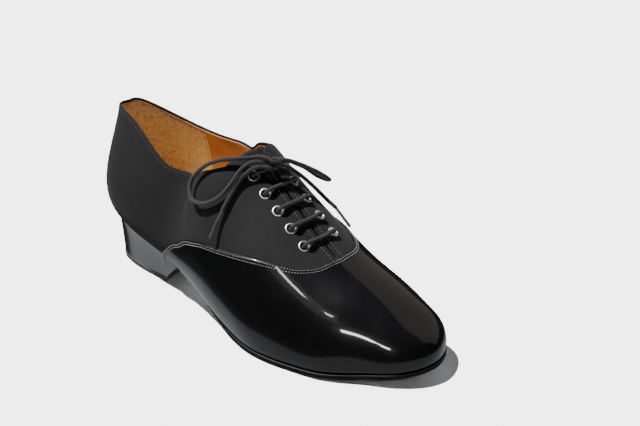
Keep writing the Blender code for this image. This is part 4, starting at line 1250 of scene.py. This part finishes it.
def add_floor(finish):
    corners = [(x * FLOOR_REACH, y * FLOOR_REACH, 0) for x, y in ((-1, -1), (1, -1), (1, 1), (-1, 1))]
    mesh = bpy.data.meshes.new("floor")
    mesh.from_pydata(corners, [], [(0, 1, 2, 3)])
    mesh.materials.append(finish)
    floor = placed("floor", mesh)
    floor.visible_glossy = False


def direction(azimuth, elevation):
    a, e = math.radians(azimuth), math.radians(elevation)
    return Vector((math.cos(a) * math.cos(e), math.sin(a) * math.cos(e), math.sin(e)))


def turned_from(light, back):
    """Turns a light so that it shines from a direction."""
    light.rotation_mode = "QUATERNION"
    light.rotation_quaternion = (-back).to_track_quat("-Z", "Y")


def add_area_light(name, azimuth, elevation, size, power, colour):
    data = bpy.data.lights.new(name, "AREA")
    data.shape = "RECTANGLE"
    data.size, data.size_y = size
    data.energy = power
    data.color = colour
    light = placed(name, data)
    back = direction(azimuth, elevation)
    light.location = Vector(PANEL_TARGET) + back * PANEL_DISTANCE
    light.visible_diffuse = False
    light.visible_camera = False
    turned_from(light, back)
    return light


def studio_world():
    """Dim room: a little light from above, near black at eye height, the pale sweep from below."""
    world = bpy.data.worlds.new("studio")
    world.use_nodes = True
    nodes, links = world.node_tree.nodes, world.node_tree.links
    place = nodes.new("ShaderNodeTexCoord").outputs["Generated"]
    lean = nodes.new("ShaderNodeVectorMath")
    lean.operation = "DOT_PRODUCT"
    lean.inputs[1].default_value = FAR_SIDE_LEAN
    links.new(place, lean.inputs[0])
    height = nodes.new("ShaderNodeMapRange")
    height.inputs["From Min"].default_value = -1
    links.new(lean.outputs["Value"], height.inputs["Value"])
    ramp = nodes.new("ShaderNodeValToRGB")
    ramp.color_ramp.interpolation = "EASE"
    ramp.color_ramp.elements.remove(ramp.color_ramp.elements[0])
    for at, tone in WORLD_TONES:
        element = ramp.color_ramp.elements.new(at)
        element.color = (*tone, 1)
    ramp.color_ramp.elements.remove(ramp.color_ramp.elements[-1])
    links.new(height.outputs[0], ramp.inputs[0])
    links.new(ramp.outputs[0], nodes["Background"].inputs["Color"])
    bpy.context.scene.world = world


def add_lights():
    sun = bpy.data.lights.new("key", "SUN")
    sun.energy = SUN_POWER
    sun.angle = SUN_WIDTH
    turned_from(placed("key", sun), direction(*SUN_FROM))
    for panel in PANELS:
        light = add_area_light(*panel)
    light.visible_diffuse = True
    light.visible_glossy = False
    studio_world()


# Materials


class Finish:
    """Principled material with short helpers for its nodes."""

    def __init__(self, name, colour, roughness, **sockets):
        self.made = bpy.data.materials.new(name)
        self.made.use_nodes = True
        self.nodes = self.made.node_tree.nodes
        self.links = self.made.node_tree.links
        self.shader = self.nodes["Principled BSDF"]
        self.shader.inputs["Base Color"].default_value = (*colour, 1)
        self.shader.inputs["Roughness"].default_value = roughness
        for socket, value in sockets.items():
            self.shader.inputs[socket.replace("_", " ")].default_value = value
        self.place = self.nodes.new("ShaderNodeTexCoord").outputs["Object"]
        self.height = None

    def noise(self, scale, detail=4.0, rough=0.6, stretch=(1, 1, 1), distortion=0.0):
        mapping = self.nodes.new("ShaderNodeMapping")
        mapping.inputs["Scale"].default_value = stretch
        self.links.new(self.place, mapping.inputs["Vector"])
        node = self.nodes.new("ShaderNodeTexNoise")
        node.inputs["Scale"].default_value = scale
        node.inputs["Detail"].default_value = detail
        node.inputs["Roughness"].default_value = rough
        node.inputs["Distortion"].default_value = distortion
        self.links.new(mapping.outputs[0], node.inputs["Vector"])
        return node.outputs["Fac"]

    def ramp(self, value, *stops):
        node = self.nodes.new("ShaderNodeValToRGB")
        elements = node.color_ramp.elements
        while len(elements) < len(stops):
            elements.new(0.5)
        for element, (position, colour) in zip(elements, stops):
            element.position = position
            element.color = (*colour, 1) if len(colour) == 3 else colour
        self.links.new(value, node.inputs["Fac"])
        return node.outputs["Color"]

    def mixed(self, factor, a, b):
        node = self.nodes.new("ShaderNodeMix")
        node.data_type = "RGBA"
        self.links.new(factor, node.inputs["Factor"])
        self.links.new(a, node.inputs["A"])
        self.links.new(b, node.inputs["B"])
        return node.outputs["Result"]

    def along(self, first, last):
        """Grows from 0 to 1 between two places along the shoe."""
        parts = self.nodes.new("ShaderNodeSeparateXYZ")
        self.links.new(self.place, parts.inputs[0])
        node = self.nodes.new("ShaderNodeMapRange")
        node.inputs["From Min"].default_value = first
        node.inputs["From Max"].default_value = last
        self.links.new(parts.outputs["X"], node.inputs["Value"])
        return node.outputs[0]

    def colour(self, value):
        self.links.new(value, self.shader.inputs["Base Color"])

    def spread(self, value, low, high):
        node = self.nodes.new("ShaderNodeMapRange")
        node.inputs["To Min"].default_value = low
        node.inputs["To Max"].default_value = high
        self.links.new(value, node.inputs["Value"])
        return node.outputs[0]

    def rough(self, value, low, high):
        self.links.new(self.spread(value, low, high), self.shader.inputs["Roughness"])

    def bump(self, value, strength, distance):
        node = self.nodes.new("ShaderNodeBump")
        node.inputs["Strength"].default_value = strength
        node.inputs["Distance"].default_value = distance
        self.links.new(value, node.inputs["Height"])
        if self.height is not None:
            self.links.new(self.height, node.inputs["Normal"])
        self.height = node.outputs["Normal"]
        self.links.new(self.height, self.shader.inputs["Normal"])

    def grain(self, scale, detail, rough, strength, distance):
        """Bump of a noise."""
        self.bump(self.noise(scale, detail, rough), strength, distance)


def nubuck():
    finish = Finish(
        "nubuck_black",
        (0.007, 0.007, 0.007),
        0.85,
        Sheen_Weight=0.02,
        Sheen_Roughness=0.5,
        Sheen_Tint=(0.75, 0.72, 0.72, 1),
        Specular_IOR_Level=0.15,
    )
    broad = finish.noise(38, 3, 0.55)
    fine = finish.noise(2600, 3, 0.6)
    tone = finish.ramp(broad, (0.3, (0.00114, 0.00103, 0.0011)), (0.7, (0.00189, 0.00163, 0.00166)))
    speck = finish.ramp(fine, (0.35, (0.00068, 0.00063, 0.00066)), (0.7, (0.00213, 0.00192, 0.00196)))
    shade = finish.mixed(finish.spread(fine, 0.45, 0.45), tone, speck)
    # Painted light: the front of the quarters, from x 0.045 to 0.125, is coloured lighter than the back to
    # stand in for light that falls more fully on the front; the noise here only varies that painted light.
    painted_light_noise = finish.noise(900, 4, 0.65)
    painted_lit_front = finish.ramp(painted_light_noise, (0.3, (0.00306, 0.00272, 0.00272)), (0.7, (0.00561, 0.00493, 0.00485)))
    finish.colour(finish.mixed(finish.along(0.045, 0.125), shade, painted_lit_front))
    finish.rough(broad, 0.78, 0.92)
    finish.grain(1500, 4, 0.65, 0.25, 0.0002)
    finish.grain(120, 3, 0.5, 0.08, 0.0012)
    return finish.made


def patent():
    finish = Finish(
        "patent_black",
        (0.0012, 0.0012, 0.0014),
        0.32,
        Coat_Weight=1.0,
        Coat_Roughness=0.07,
        Specular_IOR_Level=0.15,
    )
    finish.rough(finish.noise(60, 3, 0.5), 0.26, 0.4)
    finish.grain(240, 2, 0.5, 0.05, 0.0006)
    finish.grain(45, 2, 0.5, 0.10, 0.0015)
    return finish.made


def lining():
    finish = Finish("lining_tan", (0.5, 0.24, 0.08), 0.55, Specular_IOR_Level=0.3)
    broad = finish.noise(30, 4, 0.6)
    finish.colour(finish.ramp(broad, (0.3, (0.48, 0.24, 0.095)), (0.7, (0.66, 0.37, 0.165))))
    finish.rough(broad, 0.45, 0.65)
    finish.grain(700, 3, 0.6, 0.2, 0.0002)
    finish.grain(90, 3, 0.5, 0.1, 0.001)
    return finish.made


def grip():
    finish = Finish("grip_suede", (0.5, 0.32, 0.12), 0.95, Sheen_Weight=0.3, Specular_IOR_Level=0.15)
    patches = finish.noise(520, 6, 0.72, (1, 1, 0.8), 0.3)
    stops = ((0.34, (0.52, 0.39, 0.24)), (0.48, (0.80, 0.66, 0.45)), (0.68, (0.96, 0.88, 0.70)))
    finish.colour(finish.ramp(patches, *stops))
    finish.bump(patches, 0.5, 0.0007)
    finish.grain(1300, 3, 0.6, 0.4, 0.0003)
    return finish.made


def insole_leather(name, low, high):
    finish = Finish(name, high, 0.5, Specular_IOR_Level=0.35)
    broad = finish.noise(45, 4, 0.6)
    finish.colour(finish.ramp(broad, (0.3, low), (0.72, high)))
    finish.rough(broad, 0.42, 0.6)
    finish.grain(900, 3, 0.6, 0.15, 0.0002)
    return finish.made


def plain(name, low, high, roughness, scale, bump_scale, bump=0.2, **sockets):
    finish = Finish(name, high, roughness, **sockets)
    tone = finish.noise(scale, 4, 0.6)
    finish.colour(finish.ramp(tone, (0.35, low), (0.7, high)))
    finish.rough(tone, roughness * 0.85, min(1.0, roughness * 1.15))
    finish.grain(bump_scale, 3, 0.6, bump, 0.0002)
    return finish.made


def lace_braid():
    finish = Finish("lace_charcoal", (0.006, 0.006, 0.006), 0.8, Sheen_Weight=0.05, Specular_IOR_Level=0.2)
    run = finish.nodes.new("ShaderNodeUVMap")
    run.uv_map = "run"
    both = finish.nodes.new("ShaderNodeMath")
    both.operation = "MAXIMUM"
    for slope, socket in zip((1, -1), both.inputs):
        mapping = finish.nodes.new("ShaderNodeMapping")
        mapping.inputs["Rotation"].default_value = (0, 0, slope * math.radians(45))
        finish.links.new(run.outputs[0], mapping.inputs["Vector"])
        wave = finish.nodes.new("ShaderNodeTexWave")
        wave.inputs["Scale"].default_value = 3 * math.sqrt(2)
        wave.inputs["Distortion"].default_value = 0.0
        finish.links.new(mapping.outputs[0], wave.inputs["Vector"])
        finish.links.new(wave.outputs["Fac"], socket)
    braid = both.outputs[0]
    finish.colour(finish.ramp(braid, (0.3, (0.00256, 0.0024, 0.00256)), (0.95, (0.01088, 0.00992, 0.01024))))
    finish.bump(braid, 0.6, 0.0003)
    finish.grain(3000, 3, 0.7, 0.3, 0.0001)
    return finish.made


def metal():
    finish = Finish("eyelet_silver", (0.85, 0.85, 0.84), 0.3, Metallic=1.0)
    finish.rough(finish.noise(900, 3, 0.6), 0.28, 0.42)
    finish.grain(400, 2, 0.5, 0.05, 0.0002)
    return finish.made


def floor_finish():
    finish = Finish("floor_pale", (0.9, 0.9, 0.9), 0.7, Specular_IOR_Level=0.2)
    tone = finish.noise(3, 2, 0.5)
    finish.colour(finish.ramp(tone, (0.3, (0.90, 0.905, 0.91)), (0.7, (0.93, 0.935, 0.94))))
    return finish.made


add_camera()
LACE = lace_braid()
make_bow(
    LACE,
    plain("aglet_black", (0.012, 0.012, 0.012), (0.03, 0.03, 0.03), 0.3, 200, 900, 0.05, Coat_Weight=0.5),
)
make_lace_bars(LACE)
NUBUCK = nubuck()
PATENT = patent()
LINING = lining()
outer_wall = wall_piece("quarters_nubuck", 0.0, OUTER_LEATHER, 0.0, NUBUCK, ("upper",))
inner_depth = OUTER_LEATHER + LINING_GAP
inner_wall = wall_piece("quarters_lining", inner_depth, WALL - inner_depth, LINING_DROP, LINING)
cut_holes((outer_wall, inner_wall), hole_cutter())
make_vamp(PATENT)
make_back_strip(PATENT)
make_grip(grip())
make_tongue(NUBUCK, LINING)
make_insole(
    insole_leather("insole_tan", (0.55, 0.33, 0.12), (0.72, 0.46, 0.19)),
    insole_leather("heel_pad_tan", (0.62, 0.36, 0.12), (0.80, 0.50, 0.20)),
)
make_outsole(
    plain(
        "sole_edge_grey",
        (0.0026, 0.00273, 0.00299),
        (0.00585, 0.00598, 0.00637),
        0.5, 90, 700, 0.25,
        Specular_IOR_Level=0.1,
    ),
    plain("sole_suede", (0.10, 0.095, 0.09), (0.17, 0.16, 0.15), 0.95, 120, 900, 0.5),
)
make_heel(
    plain(
        "heel_gloss",
        (0.0018, 0.00186, 0.0021),
        (0.0036, 0.00375, 0.00405),
        0.3, 60, 300, 0.04,
        Coat_Weight=1.0, Coat_Roughness=0.08, Coat_IOR=2.1,
    ),
    plain("tip_grey", (0.014, 0.0144, 0.0152), (0.024, 0.0244, 0.0252), 0.6, 200, 900, 0.3),
)
make_eyelets(metal())
make_stitches(
    plain("thread_black", (0.004, 0.0038, 0.0038), (0.01, 0.0094, 0.0092), 0.7, 900, 2500, 0.3),
    plain("thread_grey", (0.0312, 0.0312, 0.03224), (0.0832, 0.0832, 0.0858), 0.45, 900, 2500, 0.3),
    plain("thread_tan", (0.16, 0.07, 0.02), (0.3, 0.15, 0.05), 0.7, 900, 2500, 0.3),
    plain("thread_brown", (0.027, 0.0216, 0.018), (0.054, 0.045, 0.0387), 0.7, 900, 2500, 0.3),
)
add_floor(floor_finish())
add_lights()
